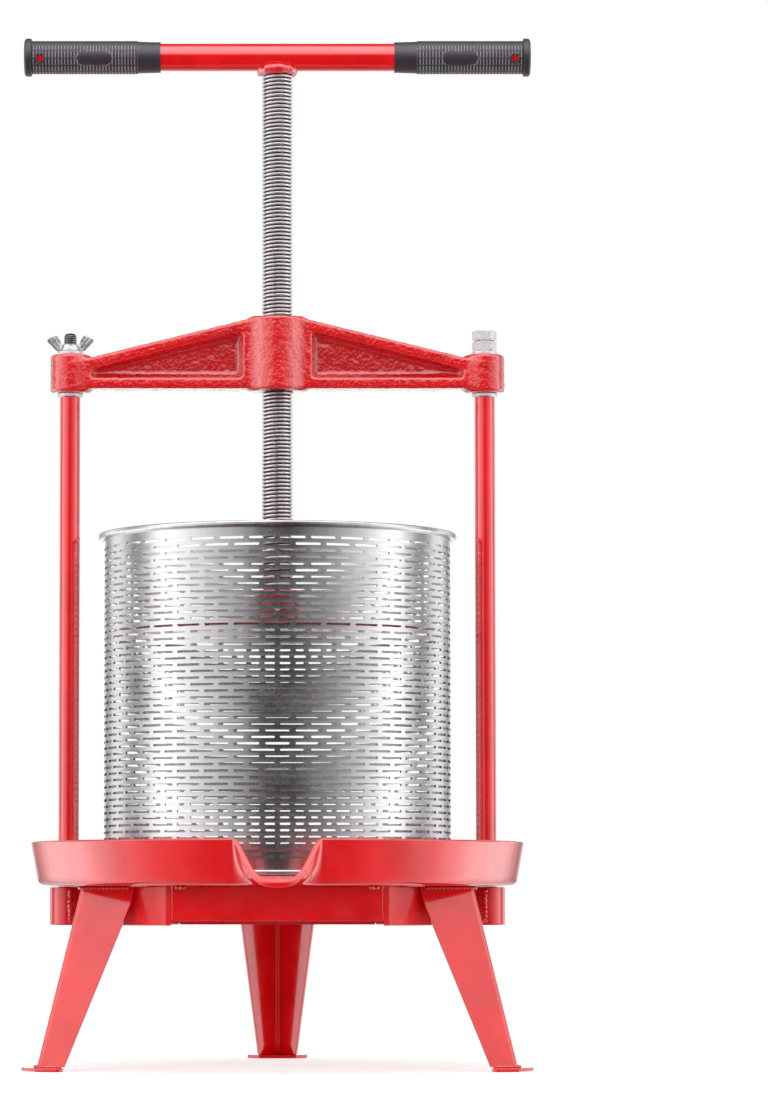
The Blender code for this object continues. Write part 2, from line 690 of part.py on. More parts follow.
def make_hex_nut(name, x, seat):
    """A hexagon nut with chamfered corners."""
    corner = NUT_ACROSS_FLATS / 2 / math.cos(math.pi / NUT_SIDES)
    outline = [polar(corner, 2 * math.pi * k / NUT_SIDES) for k in range(NUT_SIDES)]
    nut = add_object(name, prism(outline, 0, NUT_HEIGHT), ZINC, place=(x, 0, seat))
    trim = turned(
        [
            (0, 0), (corner - NUT_CHAMFER, 0), (corner, NUT_CHAMFER),
            (corner, NUT_HEIGHT - NUT_CHAMFER), (corner - NUT_CHAMFER, NUT_HEIGHT), (0, NUT_HEIGHT),
        ],
        SMALL_STEPS,
    )
    combine(nut, "INTERSECT", helper(f"{name}_trim", trim, place=(x, 0, seat)))
    combine(nut, "DIFFERENCE", helper(f"{name}_bore", stud_hole(0, NUT_HEIGHT), place=(x, 0, seat)))


def make_wing_nut():
    """The wing nut that frees the left end of the beam, with its origin on its thread's axis."""
    place = (-POST_X, 0, NUT_SEAT)
    crown = WING_HUB_RADIUS - WING_HUB_TAPER
    hub = [(0, 0), (WING_HUB_RADIUS, 0), (crown, WING_HUB_HEIGHT), (0, WING_HUB_HEIGHT)]
    nut = add_object("wing_nut", turned(hub, SMALL_STEPS), ZINC, place=place)
    for label, side in (("left", -1), ("right", 1)):
        outline = [(side * WING_SPAN * x, WING_RISE * z) for x, z in WING_OUTLINE_SHARES]
        bm = upright(outline, -WING_THICKNESS / 2, WING_THICKNESS / 2)
        bmesh.ops.recalc_face_normals(bm, faces=bm.faces)
        rims = [edge for edge in bm.edges if abs(edge.verts[0].co.y - edge.verts[1].co.y) < GAP]
        bmesh.ops.bevel(bm, geom=rims, offset=WING_EDGE_ROUNDING, segments=1, profile=0.5, affect="EDGES")
        combine(nut, "UNION", helper(f"wing_{label}", bm, place=place))
    combine(nut, "DIFFERENCE", helper("wing_nut_bore", stud_hole(0, WING_RISE), place=place))


def make_spindle():
    """The screw's rod, with a neck near its foot for the retaining screws."""
    low, high = SPINDLE_FOOT, SPINDLE_TOP
    neck_top = NECK_FOOT + SPINDLE_NECK_HEIGHT
    outline = [
        (0, low), (SPINDLE_RADIUS - SPINDLE_CHAMFER, low), (SPINDLE_RADIUS, low + SPINDLE_CHAMFER),
        (SPINDLE_RADIUS, NECK_FOOT), (SPINDLE_NECK_RADIUS, NECK_FOOT), (SPINDLE_NECK_RADIUS, neck_top),
        (SPINDLE_RADIUS, neck_top), (SPINDLE_RADIUS, high), (0, high),
    ]
    add_object("spindle", turned(outline, MEDIUM_STEPS), SCREW_STEEL)


def make_plate():
    """The pressing plate, a loose fit in the drum."""
    top = PLATE_FOOT + PLATE_THICKNESS
    disc = chamfered_rod(PLATE_RADIUS, PLATE_FOOT, top, PLATE_EDGE_ROUNDING, LARGE_STEPS)
    add_object("press_plate", disc, CAST_RED)


def make_plate_hub():
    """The thrust cup in which the screw's foot turns."""
    bore = clear_radius(SPINDLE_RADIUS, MEDIUM_STEPS)
    floor, top = HUB_FOOT + HUB_FLOOR, HUB_FOOT + HUB_HEIGHT
    outline = [
        (0, HUB_FOOT), (HUB_RADIUS, HUB_FOOT), (HUB_RADIUS, top - HUB_CHAMFER),
        (HUB_RADIUS - HUB_CHAMFER, top), (bore, top), (bore, floor), (0, floor),
    ]
    hub = add_object("plate_hub", turned(outline, MEDIUM_STEPS), CAST_RED)
    reach = HUB_RADIUS + CUT_OVERRUN
    hole = cylinder(clear_radius(SET_SCREW_RADIUS, SMALL_STEPS), -reach, reach, SMALL_STEPS)
    turn = Matrix.Rotation(math.pi / 2, 3, "X")
    combine(hub, "DIFFERENCE", helper("plate_hub_holes", hole, turn, (0, 0, SET_SCREW_HEIGHT)))


def make_set_screw(label, turn_sign):
    """A retaining screw whose dog point sits in the spindle's neck."""
    tip = SPINDLE_NECK_RADIUS + SET_SCREW_TIP_GAP
    dog = SET_SCREW_RADIUS - SET_SCREW_DOG_STEP
    shoulder = SPINDLE_RADIUS + 2 * GAP
    outline = [
        (0, tip), (dog, tip), (dog, shoulder),
        (SET_SCREW_RADIUS, shoulder), (SET_SCREW_RADIUS, HUB_RADIUS), (0, HUB_RADIUS),
    ]
    turn = Matrix.Rotation(turn_sign * math.pi / 2, 3, "X")
    add_object(
        f"retaining_screw_{label}", turned(outline, SMALL_STEPS), ZINC, turn, (0, 0, SET_SCREW_HEIGHT)
    )


def make_handle():
    """The cross tube on top of the screw, and the weld that holds it."""
    end = HANDLE_HALF_LENGTH - GRIP_END_WALL - GAP
    along_x = Matrix.Rotation(math.pi / 2, 3, "Y")
    tube = washer_ring(HANDLE_RADIUS, HANDLE_RADIUS - HANDLE_WALL, -end, end, SMALL_STEPS)
    add_object("handle_bar", tube, RED, along_x, (0, 0, HANDLE_HEIGHT))
    low = SPINDLE_TOP - WELD_DROP
    bore = clear_radius(SPINDLE_RADIUS, MEDIUM_STEPS)
    outline = [
        (bore, low), (WELD_RADIUS - WELD_ROUNDING, low), (WELD_RADIUS, low + WELD_ROUNDING),
        (WELD_RADIUS, low + WELD_HEIGHT), (bore, low + WELD_HEIGHT),
    ]
    weld = add_object("handle_weld", turned(outline, MEDIUM_STEPS, closed=True), RED)
    reach = WELD_RADIUS + CUT_OVERRUN
    saddle = cylinder(clear_radius(HANDLE_RADIUS, SMALL_STEPS), -reach, reach, SMALL_STEPS)
    combine(weld, "DIFFERENCE", helper("weld_saddle", saddle, along_x, (0, 0, HANDLE_HEIGHT)))


def grip_ribs(start, end):
    """The ribbed sleeve's outline between two distances from its mouth."""
    pitch = (end - start) / GRIP_RIBS
    points = []
    for rib in range(GRIP_RIBS):
        foot = start + rib * pitch
        points += [(GRIP_RIB_RADIUS - GRIP_RIB_DEPTH, foot), (GRIP_RIB_RADIUS, foot + pitch / 2)]
    return points


def make_grip(side, sign):
    """A moulded sleeve with a tapered neck, ribs, an end flange and a vent hole."""
    bore = clear_radius(HANDLE_RADIUS, SMALL_STEPS)
    flange = GRIP_LENGTH - GRIP_FLANGE_WIDTH
    neck = GRIP_NECK_LENGTH
    flange_radius = GRIP_FLANGE_RADIUS
    soft = GRIP_FLANGE_ROUNDING
    outline = [(bore, 0), (GRIP_NECK_RADIUS, 0), (GRIP_NECK_RADIUS + GRIP_NECK_FLARE, neck)]
    outline += grip_ribs(neck, flange)
    outline += [
        (GRIP_RIB_RADIUS - GRIP_RIB_DEPTH, flange), (flange_radius - soft / 2, flange),
        (flange_radius, flange + soft / 2), (flange_radius, GRIP_LENGTH - soft),
        (flange_radius - soft, GRIP_LENGTH), (0, GRIP_LENGTH),
        (0, GRIP_LENGTH - GRIP_END_WALL), (bore, GRIP_LENGTH - GRIP_END_WALL),
    ]
    mouth = HANDLE_HALF_LENGTH - GRIP_LENGTH
    turn = Matrix.Rotation(sign * math.pi / 2, 3, "Y")
    place = (sign * mouth, 0, HANDLE_HEIGHT)
    grip = add_object(f"grip_{side}", turned_shell(outline, SMALL_STEPS), RUBBER, turn, place)
    vent = cylinder(GRIP_VENT_RADIUS, bore - GRIP_RIB_DEPTH, flange_radius + CUT_OVERRUN, SMALL_STEPS)
    vent_x = sign * (HANDLE_HALF_LENGTH - GRIP_VENT_SETBACK)
    front = Matrix.Rotation(math.pi / 2, 3, "X")
    combine(grip, "DIFFERENCE", helper(f"grip_vent_{side}", vent, front, (vent_x, 0, HANDLE_HEIGHT)))


def turned_shell(outline, steps):
    """A turned cup whose outline leaves the axis at its end and returns to it inside."""
    bm = turned(outline, steps)
    mouth = [edge for edge in bm.edges if edge.is_boundary]
    bmesh.ops.bridge_loops(bm, edges=mouth)
    return bm


def make_frame():
    """Legs, pads, bars and sockets under the tray."""
    for name, degrees in LEG_ANGLES_DEGREES.items():
        make_leg(name, math.radians(degrees))
    make_cross_bar("front_apron", -FRAME_APOTHEM, CROSS_BAR_HALF_LENGTH, APRON_HEIGHT)
    make_cross_bar("rear_bar", FRAME_APOTHEM, CROSS_BAR_HALF_LENGTH, BAR_HEIGHT)
    for name, degrees in (("rear_right", 30), ("rear_left", 150), ("front_left", 210), ("front_right", 330)):
        make_side_bar(f"side_bar_{name}", math.radians(degrees))
    for side, x in (("left", -POST_X), ("right", POST_X)):
        make_socket(side, x)


def make_top():
    """Posts, beam and the fasteners that hold it."""
    make_post("left", -POST_X, NUT_SEAT + WING_RISE + WING_STUD_PROUD)
    make_post("right", POST_X, LOCK_NUT_SEAT + NUT_HEIGHT + STUD_PROUD)
    make_beam()
    under = BOSS_FOOT - GAP - WASHER_THICKNESS
    make_washer("beam_washer_left", -POST_X, under, SMALL_WASHER_RADIUS)
    make_washer("beam_washer_right", POST_X, under, SMALL_WASHER_RADIUS)
    make_washer("top_washer_left", -POST_X, TOP_WASHER_FOOT, WASHER_RADIUS)
    make_washer("top_washer_right", POST_X, TOP_WASHER_FOOT, WASHER_RADIUS)
    make_wing_nut()
    make_hex_nut("hex_nut", POST_X, NUT_SEAT)
    make_hex_nut("lock_nut", POST_X, LOCK_NUT_SEAT)


def make_press():
    """The moving press: drum, plate, screw and handle."""
    make_basket()
    make_basket_bead("basket_rim", RIM_WIDTH, BASKET_TOP - RIM_HEIGHT, BASKET_TOP)
    make_basket_bead("basket_hoop", HOOP_WIDTH, BASKET_FOOT, BASKET_FOOT + HOOP_HEIGHT)
    make_plate()
    make_plate_hub()
    make_set_screw("front", 1)
    make_set_screw("rear", -1)
    make_spindle()
    make_handle()
    make_grip("left", -1)
    make_grip("right", 1)


def main():
    """Clears the scene and builds the press."""
    for item in list(bpy.data.objects):
        bpy.data.objects.remove(item)
    make_frame()
    make_tray()
    make_top()
    make_press()


main()
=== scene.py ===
"""Visual model of a hand-cranked fruit press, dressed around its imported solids.

Sizes are in millimetres in the classes below, and become metres when a mesh is made. Z is up, X runs
along the beam and -Y is the spout's side. The origin is on the screw's axis, at floor level.
"""

# ruff: noqa: E402

import logging
import math
from dataclasses import dataclass, field
from enum import Enum
from typing import Callable, Iterable, Mapping, Sequence

import bmesh
import bpy
import numpy as np
from mathutils import Matrix, Vector


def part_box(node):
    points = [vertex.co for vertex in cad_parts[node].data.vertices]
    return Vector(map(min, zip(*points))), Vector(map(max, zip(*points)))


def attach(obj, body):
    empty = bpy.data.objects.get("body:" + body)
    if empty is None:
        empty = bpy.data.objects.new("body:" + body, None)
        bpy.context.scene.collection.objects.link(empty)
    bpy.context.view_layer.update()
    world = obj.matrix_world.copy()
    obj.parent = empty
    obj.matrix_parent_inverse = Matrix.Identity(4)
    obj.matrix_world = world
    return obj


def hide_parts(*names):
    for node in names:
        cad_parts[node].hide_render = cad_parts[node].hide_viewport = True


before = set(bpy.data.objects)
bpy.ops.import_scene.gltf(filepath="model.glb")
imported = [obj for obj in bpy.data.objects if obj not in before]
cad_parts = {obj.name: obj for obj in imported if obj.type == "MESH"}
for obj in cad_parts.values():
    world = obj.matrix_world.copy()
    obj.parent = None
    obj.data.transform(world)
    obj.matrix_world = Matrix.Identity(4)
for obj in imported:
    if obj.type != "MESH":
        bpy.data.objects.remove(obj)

LOG = logging.getLogger("fruit_press")
MM = 0.001
TURN = 2 * math.pi
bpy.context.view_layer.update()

Array = np.ndarray
Distance = Callable[[Array, Array, Array], Array]
Triple = tuple[float, float, float]
Stops = tuple[tuple[float, float], ...]
Material = bpy.types.Material
Socket = bpy.types.NodeSocket
Value = bpy.types.NodeSocket | float


class Body(Enum):
    """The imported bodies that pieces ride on."""

    STAND = "stand"
    DRUM = "drum"
    PLATE = "plate"
    SCREW = "screw"
    LOOSE_WASHER = "quick_release_washer"
    WING_NUT = "quick_release_nut"


class Slot(Enum):
    """The record's material slots."""

    RED = "red_enamel"
    CAST_RED = "cast_red_enamel"
    STAINLESS = "stainless_sheet"
    ZINC = "zinc_plate"
    SCREW = "screw_steel"
    RUBBER = "grip_rubber"


class Side(Enum):
    """The two ends of the beam, as signs along X."""

    LEFT = -1
    RIGHT = 1

    @property
    def word(self) -> str:
        """The side's name in lower case."""
        return self.name.lower()


# ---- colours and node trees


def paint(red: float, green: float, blue: float) -> tuple[float, float, float, float]:
    """A display colour of 0 to 255 as the linear colour that a shader takes."""
    shares = np.array([red, green, blue]) / 255
    linear = np.where(shares <= 0.04045, shares / 12.92, ((shares + 0.055) / 1.055) ** 2.4)
    return (*linear.tolist(), 1.0)


class Tree:
    """One node tree, built by short calls that return sockets."""

    def __init__(self, tree: bpy.types.NodeTree) -> None:
        """Keeps the tree that the calls add to."""
        self.tree = tree

    def node(self, kind: str, inputs: Mapping | None = None, **settings: object) -> bpy.types.Node:
        """Adds a node.

        Args:
            kind: the node's type without its ShaderNode prefix.
            inputs: socket name or number to a value or to the socket that feeds it.
            **settings: the node's own settings.

        Returns:
            The new node.
        """
        made = self.tree.nodes.new("ShaderNode" + kind)
        for key, value in settings.items():
            setattr(made, key, value)
        for key, value in (inputs or {}).items():
            if isinstance(value, Socket):
                self.tree.links.new(value, made.inputs[key])
            else:
                made.inputs[key].default_value = value
        return made

    def between(
        self, value: Socket, low: float, high: float, start: float = 0.0, end: float = 1.0, how: str = "SMOOTHSTEP"
    ) -> Socket:
        """A value that goes from start to end while its input goes from low to high."""
        wanted = {"Value": value, "From Min": low, "From Max": high, "To Min": start, "To Max": end}
        return self.node("MapRange", wanted, interpolation_type=how).outputs[0]

    def sum_of(self, first: Value, second: Value, how: str = "ADD") -> Socket:
        """Two values added, or joined by another sum."""
        return self.node("Math", {0: first, 1: second}, operation=how).outputs[0]

    def blend(self, factor: Value, first: Socket | tuple, second: Socket | tuple) -> Socket:
        """The first colour where the factor is 0 and the second where it is 1."""
        return self.node("Mix", {0: factor, 6: first, 7: second}, data_type="RGBA").outputs[2]

    def mix(self, factor: Value, first: Value, second: Value) -> Socket:
        """The first value where the factor is 0 and the second where it is 1."""
        return self.node("Mix", {0: factor, 2: first, 3: second}, data_type="FLOAT").outputs[0]

    def levels(self, value: Socket, stops: Stops) -> Socket:
        """A value read off a line through stops.

        Args:
            value: where along the line.
            stops: pairs of place and level, with places that rise.

        Returns:
            The level, eased from stop to stop.
        """
        (start, end), peak = (stops[0][0], stops[-1][0]), max(level for _, level in stops)
        made = self.node("ValToRGB", {"Fac": self.between(value, start, end, how="LINEAR")})
        ramp = made.color_ramp
        ramp.interpolation = "EASE"
        ends = [(ramp.elements[0], stops[0]), (ramp.elements[1], stops[-1])]
        middle = [(ramp.elements.new((stop[0] - start) / (end - start)), stop) for stop in stops[1:-1]]
        for element, (_, level) in ends + middle:
            element.color = (level / peak,) * 3 + (1,)
        return self.sum_of(made.outputs[0], peak, "MULTIPLY")


class Board(Tree):
    """One material's node tree."""

    def __init__(self, name: str) -> None:
        """Starts a material of that name with one Principled shader."""
        self.material = bpy.data.materials.new(name)
        self.material.use_nodes = True
        super().__init__(self.material.node_tree)
        self.shader = self.tree.nodes["Principled BSDF"]
        self.place = self.node("TexCoord").outputs["Object"]

    def noise(self, size: float, detail: float = 2, rough: float = 0.5, stretch: Triple = (1, 1, 1)) -> Socket:
        """Soft noise.

        Args:
            size: the width of its patches in millimetres.
            detail: how many finer layers it has.
            rough: how strong the finer layers are.
            stretch: how much closer the patches lie along each axis.

        Returns:
            The noise, about 0.5.
        """
        vector = self.place
        if tuple(stretch) != (1, 1, 1):
            vector = self.node("Mapping", {"Vector": vector, "Scale": stretch}).outputs[0]
        wanted = {"Vector": vector, "Scale": 1 / (size * MM), "Detail": detail, "Roughness": rough}
        return self.node("TexNoise", wanted).outputs[0]

    def cells(self, size: float) -> Socket:
        """Distance to the nearest of many scattered points, one per cell of that size in millimetres."""
        wanted = {"Vector": self.place, "Scale": 1 / (size * MM)}
        return self.node("TexVoronoi", wanted, feature="SMOOTH_F1").outputs[0]

    def relief(self) -> Socket:
        """The piece's own height attribute: 0 in the grooves and 1 on the crests."""
        return self.node("Attribute", attribute_name="relief").outputs["Fac"]

    def shade(self, value: Socket, low: float, high: float, first: Triple, second: Triple) -> Socket:
        """A display colour that goes from the first to the second while a value goes from low to high."""
        return self.blend(self.between(value, low, high), paint(*first), paint(*second))

    def bump(self, height: Socket, depth: float, under: Socket | None = None) -> Socket:
        """A bumped normal.

        Args:
            height: the height from 0 to 1.
            depth: what a height of 1 stands for, in millimetres.
            under: a bumped normal that this one lies on.

        Returns:
            The normal.
        """
        wanted = {"Height": height, "Distance": depth * MM, "Strength": 1.0}
        if under is not None:
            wanted["Normal"] = under
        return self.node("Bump", wanted).outputs[0]

    def finish(self, **sockets: object) -> Material:
        """The material, with the shader's sockets set or fed by name, with _ for a space."""
        for key, value in sockets.items():
            socket = self.shader.inputs[key.replace("_", " ")]
            if isinstance(value, Socket):
                self.tree.links.new(value, socket)
            else:
                socket.default_value = value
        return self.material


# ---- finishes


@dataclass(frozen=True)
class Enamel:
    """Glossy stove enamel over smooth steel, a little uneven where it has run and thinned."""

    label: str
    colour: Triple = (238, 10, 20)
    deep: Triple = (222, 6, 15)
    gloss: float = 0.14
    shine: float = 1.6
    peel_size: float = 2.2
    peel_depth: float = 0.01

    def material(self) -> Material:
        """The finish as a material."""
        board = Board(self.label)
        colour = board.shade(board.noise(38, 3, 0.55), 0.34, 0.66, self.deep, self.colour)
        roughness = board.between(board.noise(14, 4, 0.6), 0.3, 0.75, self.gloss - 0.05, self.gloss + 0.09)
        waves = board.bump(board.noise(26, 1), self.peel_depth * 4)
        peel = board.bump(board.noise(self.peel_size, 1), self.peel_depth, waves)
        return board.finish(
            Base_Color=colour, Roughness=roughness, Normal=peel, IOR=1.6, Coat_Weight=1.0, Coat_IOR=self.shine,
            Coat_Roughness=0.07,
        )


@dataclass(frozen=True)
class CastEnamel:
    """Enamel over a sand casting: coarse grain, with painted shade in the grain's hollows and the plain colour on the
    high spots.

    It also has painted shade in a casting's pockets, nearer to its middle plane than the pocket value in metres.
    """

    label: str
    colour: Triple = (238, 8, 20)
    # The deep colour: painted shade in the grain's hollows and pockets, and the tone of the random clouds.
    deep: Triple = (188, 3, 12)
    gloss: float = 0.15
    shine: float = 1.8
    grain_size: float = 2.2
    grain_depth: float = 0.7
    pocket: float = 0.0

    def material(self) -> Material:
        """The finish as a material."""
        board = Board(self.label)
        pebbles = board.sum_of(1.0, board.cells(self.grain_size), "SUBTRACT")
        height = board.sum_of(pebbles, board.sum_of(board.noise(self.grain_size * 1.6, 1), 0.3, "MULTIPLY"))
        # Painted shade: the grain's hollows turn towards the deep colour.
        colour = board.shade(height, 0.3, 0.9, self.deep, self.colour)
        clouds_and_pocket_shade = board.between(board.noise(30, 2), 0.3, 0.7, 0, 0.3)
        # Painted shade: near the middle plane the pockets darken towards the deep colour, on top of the random clouds.
        if self.pocket:
            across = board.node("SeparateXYZ", {0: board.place}).outputs["Y"]
            pocket_shade = board.between(board.sum_of(across, 0.0, "ABSOLUTE"), self.pocket, self.pocket + 0.005, 0.9, 0.0)
            clouds_and_pocket_shade = board.sum_of(clouds_and_pocket_shade, pocket_shade, "MAXIMUM")
        colour = board.blend(clouds_and_pocket_shade, colour, paint(*self.deep))
        roughness = board.between(height, 0.4, 1.0, self.gloss + 0.1, self.gloss - 0.06)
        rough_cast = board.bump(height, self.grain_depth, board.bump(board.noise(0.7, 1), 0.015))
        return board.finish(
            Base_Color=colour, Roughness=roughness, Normal=rough_cast, IOR=1.6, Coat_Weight=1.0,
            Coat_IOR=self.shine, Coat_Roughness=0.06,
        )


@dataclass(frozen=True)
class Stainless:
    """Mill-finished stainless sheet with fine grain along the roll and soft stains."""

    label: str
    colour: Triple = (212, 210, 213)
    dull: Triple = (200, 198, 201)
    roughness: float = 0.16
    stretch: Triple = (1, 1, 6)

    def material(self) -> Material:
        """The finish as a material."""
        board = Board(self.label)
        stains, grain = board.noise(34, 4, 0.6), board.noise(1.6, 4, 0.7, self.stretch)
        colour = board.shade(stains, 0.3, 0.7, self.dull, self.colour)
        sheen = board.sum_of(board.between(grain, 0.3, 0.7, 0, 0.12), board.between(stains, 0.3, 0.7, -0.04, 0.05))
        normal = board.bump(grain, 0.012, board.bump(board.noise(34, 1), 0.1))
        roughness = board.sum_of(sheen, self.roughness)
        return board.finish(Base_Color=colour, Metallic=1.0, Roughness=roughness, Normal=normal)


@dataclass(frozen=True)
class Zinc:
    """Bright zinc plate on small turned or cast hardware, duller in soft random patches."""

    label: str
    colour: Triple = (232, 231, 235)
    dull: Triple = (214, 213, 218)
    roughness: float = 0.3
    pit_depth: float = 0.008
    metal: float = 0.4

    def material(self) -> Material:
        """The finish as a material."""
        board = Board(self.label)
        colour = board.shade(board.noise(5, 3, 0.6), 0.32, 0.6, self.dull, self.colour)
        roughness = board.between(board.noise(2.2, 3), 0.3, 0.7, self.roughness - 0.06, self.roughness + 0.14)
        normal = board.bump(board.noise(0.9, 2), self.pit_depth)
        return board.finish(Base_Color=colour, Metallic=self.metal, Roughness=roughness, Normal=normal)


@dataclass(frozen=True)
class ThreadSteel:
    """Turned steel thread: bright on the crests, with painted shade in the roots."""

    label: str
    crest: Triple = (226, 222, 223)
    root: Triple = (104, 98, 100)
    roughness: float = 0.38

    def material(self) -> Material:
        """The finish as a material."""
        board = Board(self.label)
        height = board.sum_of(board.relief(), board.between(board.noise(9, 3), 0.3, 0.7, -0.12, 0.12))
        # Painted shade: low relief, in the roots, turns towards the dark root colour.
        colour = board.shade(height, 0.12, 0.85, self.root, self.crest)
        roughness = board.between(height, 0.0, 0.9, self.roughness + 0.22, self.roughness - 0.06)
        normal = board.bump(board.noise(0.5, 2, 0.5, (1, 1, 4)), 0.02)
        return board.finish(Base_Color=colour, Metallic=0.92, Roughness=roughness, Normal=normal)


@dataclass(frozen=True)
class Rubber:
    """Moulded rubber, with a painted highlight where its relief is high, on the ribs' crests."""

    label: str
    colour: Triple = (46, 40, 49)
    crest_highlight: Triple = (130, 123, 134)
    roughness: float = 0.36

    def material(self) -> Material:
        """The finish as a material."""
        board = Board(self.label)
        height = board.sum_of(board.relief(), board.between(board.noise(12, 3), 0.3, 0.7, -0.15, 0.15))
        # Painted highlight: high relief turns towards the pale highlight colour.
        colour = board.shade(height, 0.35, 1.0, self.colour, self.crest_highlight)
        roughness = board.between(height, 0, 1.1, self.roughness + 0.12, self.roughness - 0.06)
        normal = board.bump(board.noise(0.8, 2), 0.035)
        return board.finish(Base_Color=colour, Roughness=roughness, Normal=normal, IOR=1.75)


@dataclass(frozen=True)
class Coat:
    """A finish in use: the record's slot and the material."""

    slot: Slot
    material: Material


def shared(slot: Slot, finish: Enamel | CastEnamel | Stainless | Zinc | ThreadSteel | Rubber) -> Coat:
    """A palette's entry, made once for each palette."""
    return field(default_factory=lambda: Coat(slot, finish.material()))


@dataclass
class Palette:
    """Each finish made once, for the pieces that share it."""

    enamel: Coat = shared(Slot.RED, Enamel("enamel_on_steel"))
    tube_enamel: Coat = shared(Slot.RED, Enamel("enamel_on_tube", gloss=0.1, shine=1.8, peel_depth=0.005))
    bar_enamel: Coat = shared(Slot.RED, Enamel("enamel_on_bars", gloss=0.3, shine=1.15))
    weld_enamel: Coat = shared(Slot.RED, CastEnamel("enamel_on_weld", deep=(186, 3, 12), gloss=0.16, grain_depth=0.12))
    # The casting's pocket value sets where its painted pocket shade falls.
    cast: Coat = shared(Slot.CAST_RED, CastEnamel("enamel_on_casting", pocket=0.0055))
    # Painted shade: the plate and its cup take a darker maroon for where they sit inside the drum.
    plate: Coat = shared(Slot.CAST_RED, CastEnamel("enamel_on_plate", (176, 16, 26), (126, 6, 14), grain_depth=0.12))
    stainless: Coat = shared(Slot.STAINLESS, Stainless("stainless_drum_sheet"))
    bead: Coat = shared(Slot.STAINLESS, Stainless("stainless_bead", (224, 222, 224), (190, 188, 192), 0.2))
    zinc: Coat = shared(Slot.ZINC, Zinc("bright_zinc"))
    cast_zinc: Coat = shared(Slot.ZINC, Zinc("zinc_on_casting", (214, 214, 218), (128, 128, 134), 0.34, 0.05, 0.8))
    screw: Coat = shared(Slot.SCREW, ThreadSteel("screw_thread"))
    # The stud's near-black roots are painted shade.
    stud: Coat = shared(Slot.ZINC, ThreadSteel("stud_thread", (150, 150, 154), (8, 8, 9)))
    rubber: Coat = shared(Slot.RUBBER, Rubber("grip_rubber_moulded"))


# ---- surfaces


@dataclass
class Skin:
    """Corners in millimetres and the faces that join them."""

    points: Array
    faces: list[Array]
    relief: Array | None = None

    def moved(self, place: Sequence[float] = (0, 0, 0), turn: Matrix | None = None) -> "Skin":
        """The same surface, turned about the origin and then moved."""
        points = self.points if turn is None else self.points @ np.array(turn.to_3x3()).T
        return Skin(points + np.array(place, float), self.faces, self.relief)


def joined(skins: Iterable[Skin]) -> Skin:
    """Several surfaces as one."""
    skins = list(skins)
    starts = np.cumsum([0] + [len(skin.points) for skin in skins])
    faces = [block + start for skin, start in zip(skins, starts) for block in skin.faces]
    return Skin(np.concatenate([skin.points for skin in skins]), faces)


def unit(value: Array) -> Array:
    """A value kept between 0 and 1."""
    return np.clip(value, 0, 1)


def eased(share: Array) -> Array:
    """A share from 0 to 1 that leaves and arrives gently: its square, times three less twice itself."""
    return share * share * (3 - 2 * share)


def toward(value: Array | float, goal: Array | float, share: Array) -> Array:
    """The value where the share is 0 and the goal where it is 1."""
    return value * (1 - share) + goal * share


def unit_vectors(vectors: Array) -> Array:
    """Vectors brought to a length of one."""
    return vectors / np.maximum(np.linalg.norm(vectors, axis=-1, keepdims=True), 1e-9)


def circle(steps: int) -> Array:
    """Evenly spaced angles, once round."""
    return TURN * np.arange(steps) / steps


def places(x: Array | float, y: Array | float, z: Array | float) -> Array:
    """Points made of three coordinates, repeated where they have to be."""
    return np.stack(np.broadcast_arrays(x, y, z), -1)


def wrapped(radius: Array | float, angle: Array, height: Array | float) -> Array:
    """Points round the Z axis: the radius times cosine and sine of the angle, and the height."""
    return places(radius * np.cos(angle), radius * np.sin(angle), height)


def grid_faces(rows: int, columns: int, ring: bool = False) -> Array:
    """Quads of a grid of corners, counted row by row. Rows go all round, and columns too if it is a ring."""
    row = np.arange(rows if ring else rows - 1)[:, None]
    column = np.arange(columns)[None, :]
    here, above, right = row * columns, (row + 1) % rows * columns, (column + 1) % columns
    return np.stack([here + column, here + right, above + right, above + column], -1).reshape(-1, 4)


def net(points: Array, ring: bool = False, relief: Array | None = None) -> Skin:
    """A surface over a grid of points."""
    return Skin(points.reshape(-1, 3), [grid_faces(*points.shape[:2], ring)], relief)


def softened(outline: Sequence, cuts: Sequence[float] | float, steps: int = 3, ring: bool = False) -> Array:
    """An outline with its corners rounded.

    Each corner becomes a parabola from a point before it to a point after it: the sum of start times
    (1-s) squared, corner times 2s(1-s) and end times s squared, for s from 0 to 1.

    Args:
        outline: corners in the plane.
        cuts: how far from each corner its rounding starts.
        steps: the rounding's number of parts.
        ring: whether the last corner joins the first; if not, both ends stay sharp.

    Returns:
        The rounded outline's points.
    """
    corners = np.array(outline, float)
    cut = np.broadcast_to(np.array(cuts, float), len(corners))[:, None]
    back, ahead = np.roll(corners, 1, 0) - corners, np.roll(corners, -1, 0) - corners
    back, ahead = unit_vectors(back), unit_vectors(ahead)
    share = np.linspace(0, 1, steps + 1)[None, :, None]
    start, end = (corners + back * cut)[:, None], (corners + ahead * cut)[:, None]
    curve = start * (1 - share) ** 2 + corners[:, None] * 2 * share * (1 - share) + end * share**2
    if ring:
        return curve.reshape(-1, 2)
    return np.concatenate([corners[:1], curve[1:-1].reshape(-1, 2), corners[-1:]])


def turned(outline: Array, steps: int, ring: bool = False) -> Skin:
    """A surface of revolution about Z of (radius, height) points."""
    radius, height = np.array(outline, float).T[:, :, None]
    return net(wrapped(radius, circle(steps), height), ring)


def rod(radius: float, low: float, high: float, cut: float, parts: int, steps: int) -> Skin:
    """An upright rod or disc with rounded rims."""
    outline = [(0, low), (radius, low), (radius, high), (0, high)]
    return turned(softened(outline, [0, cut, cut, 0], parts), steps)


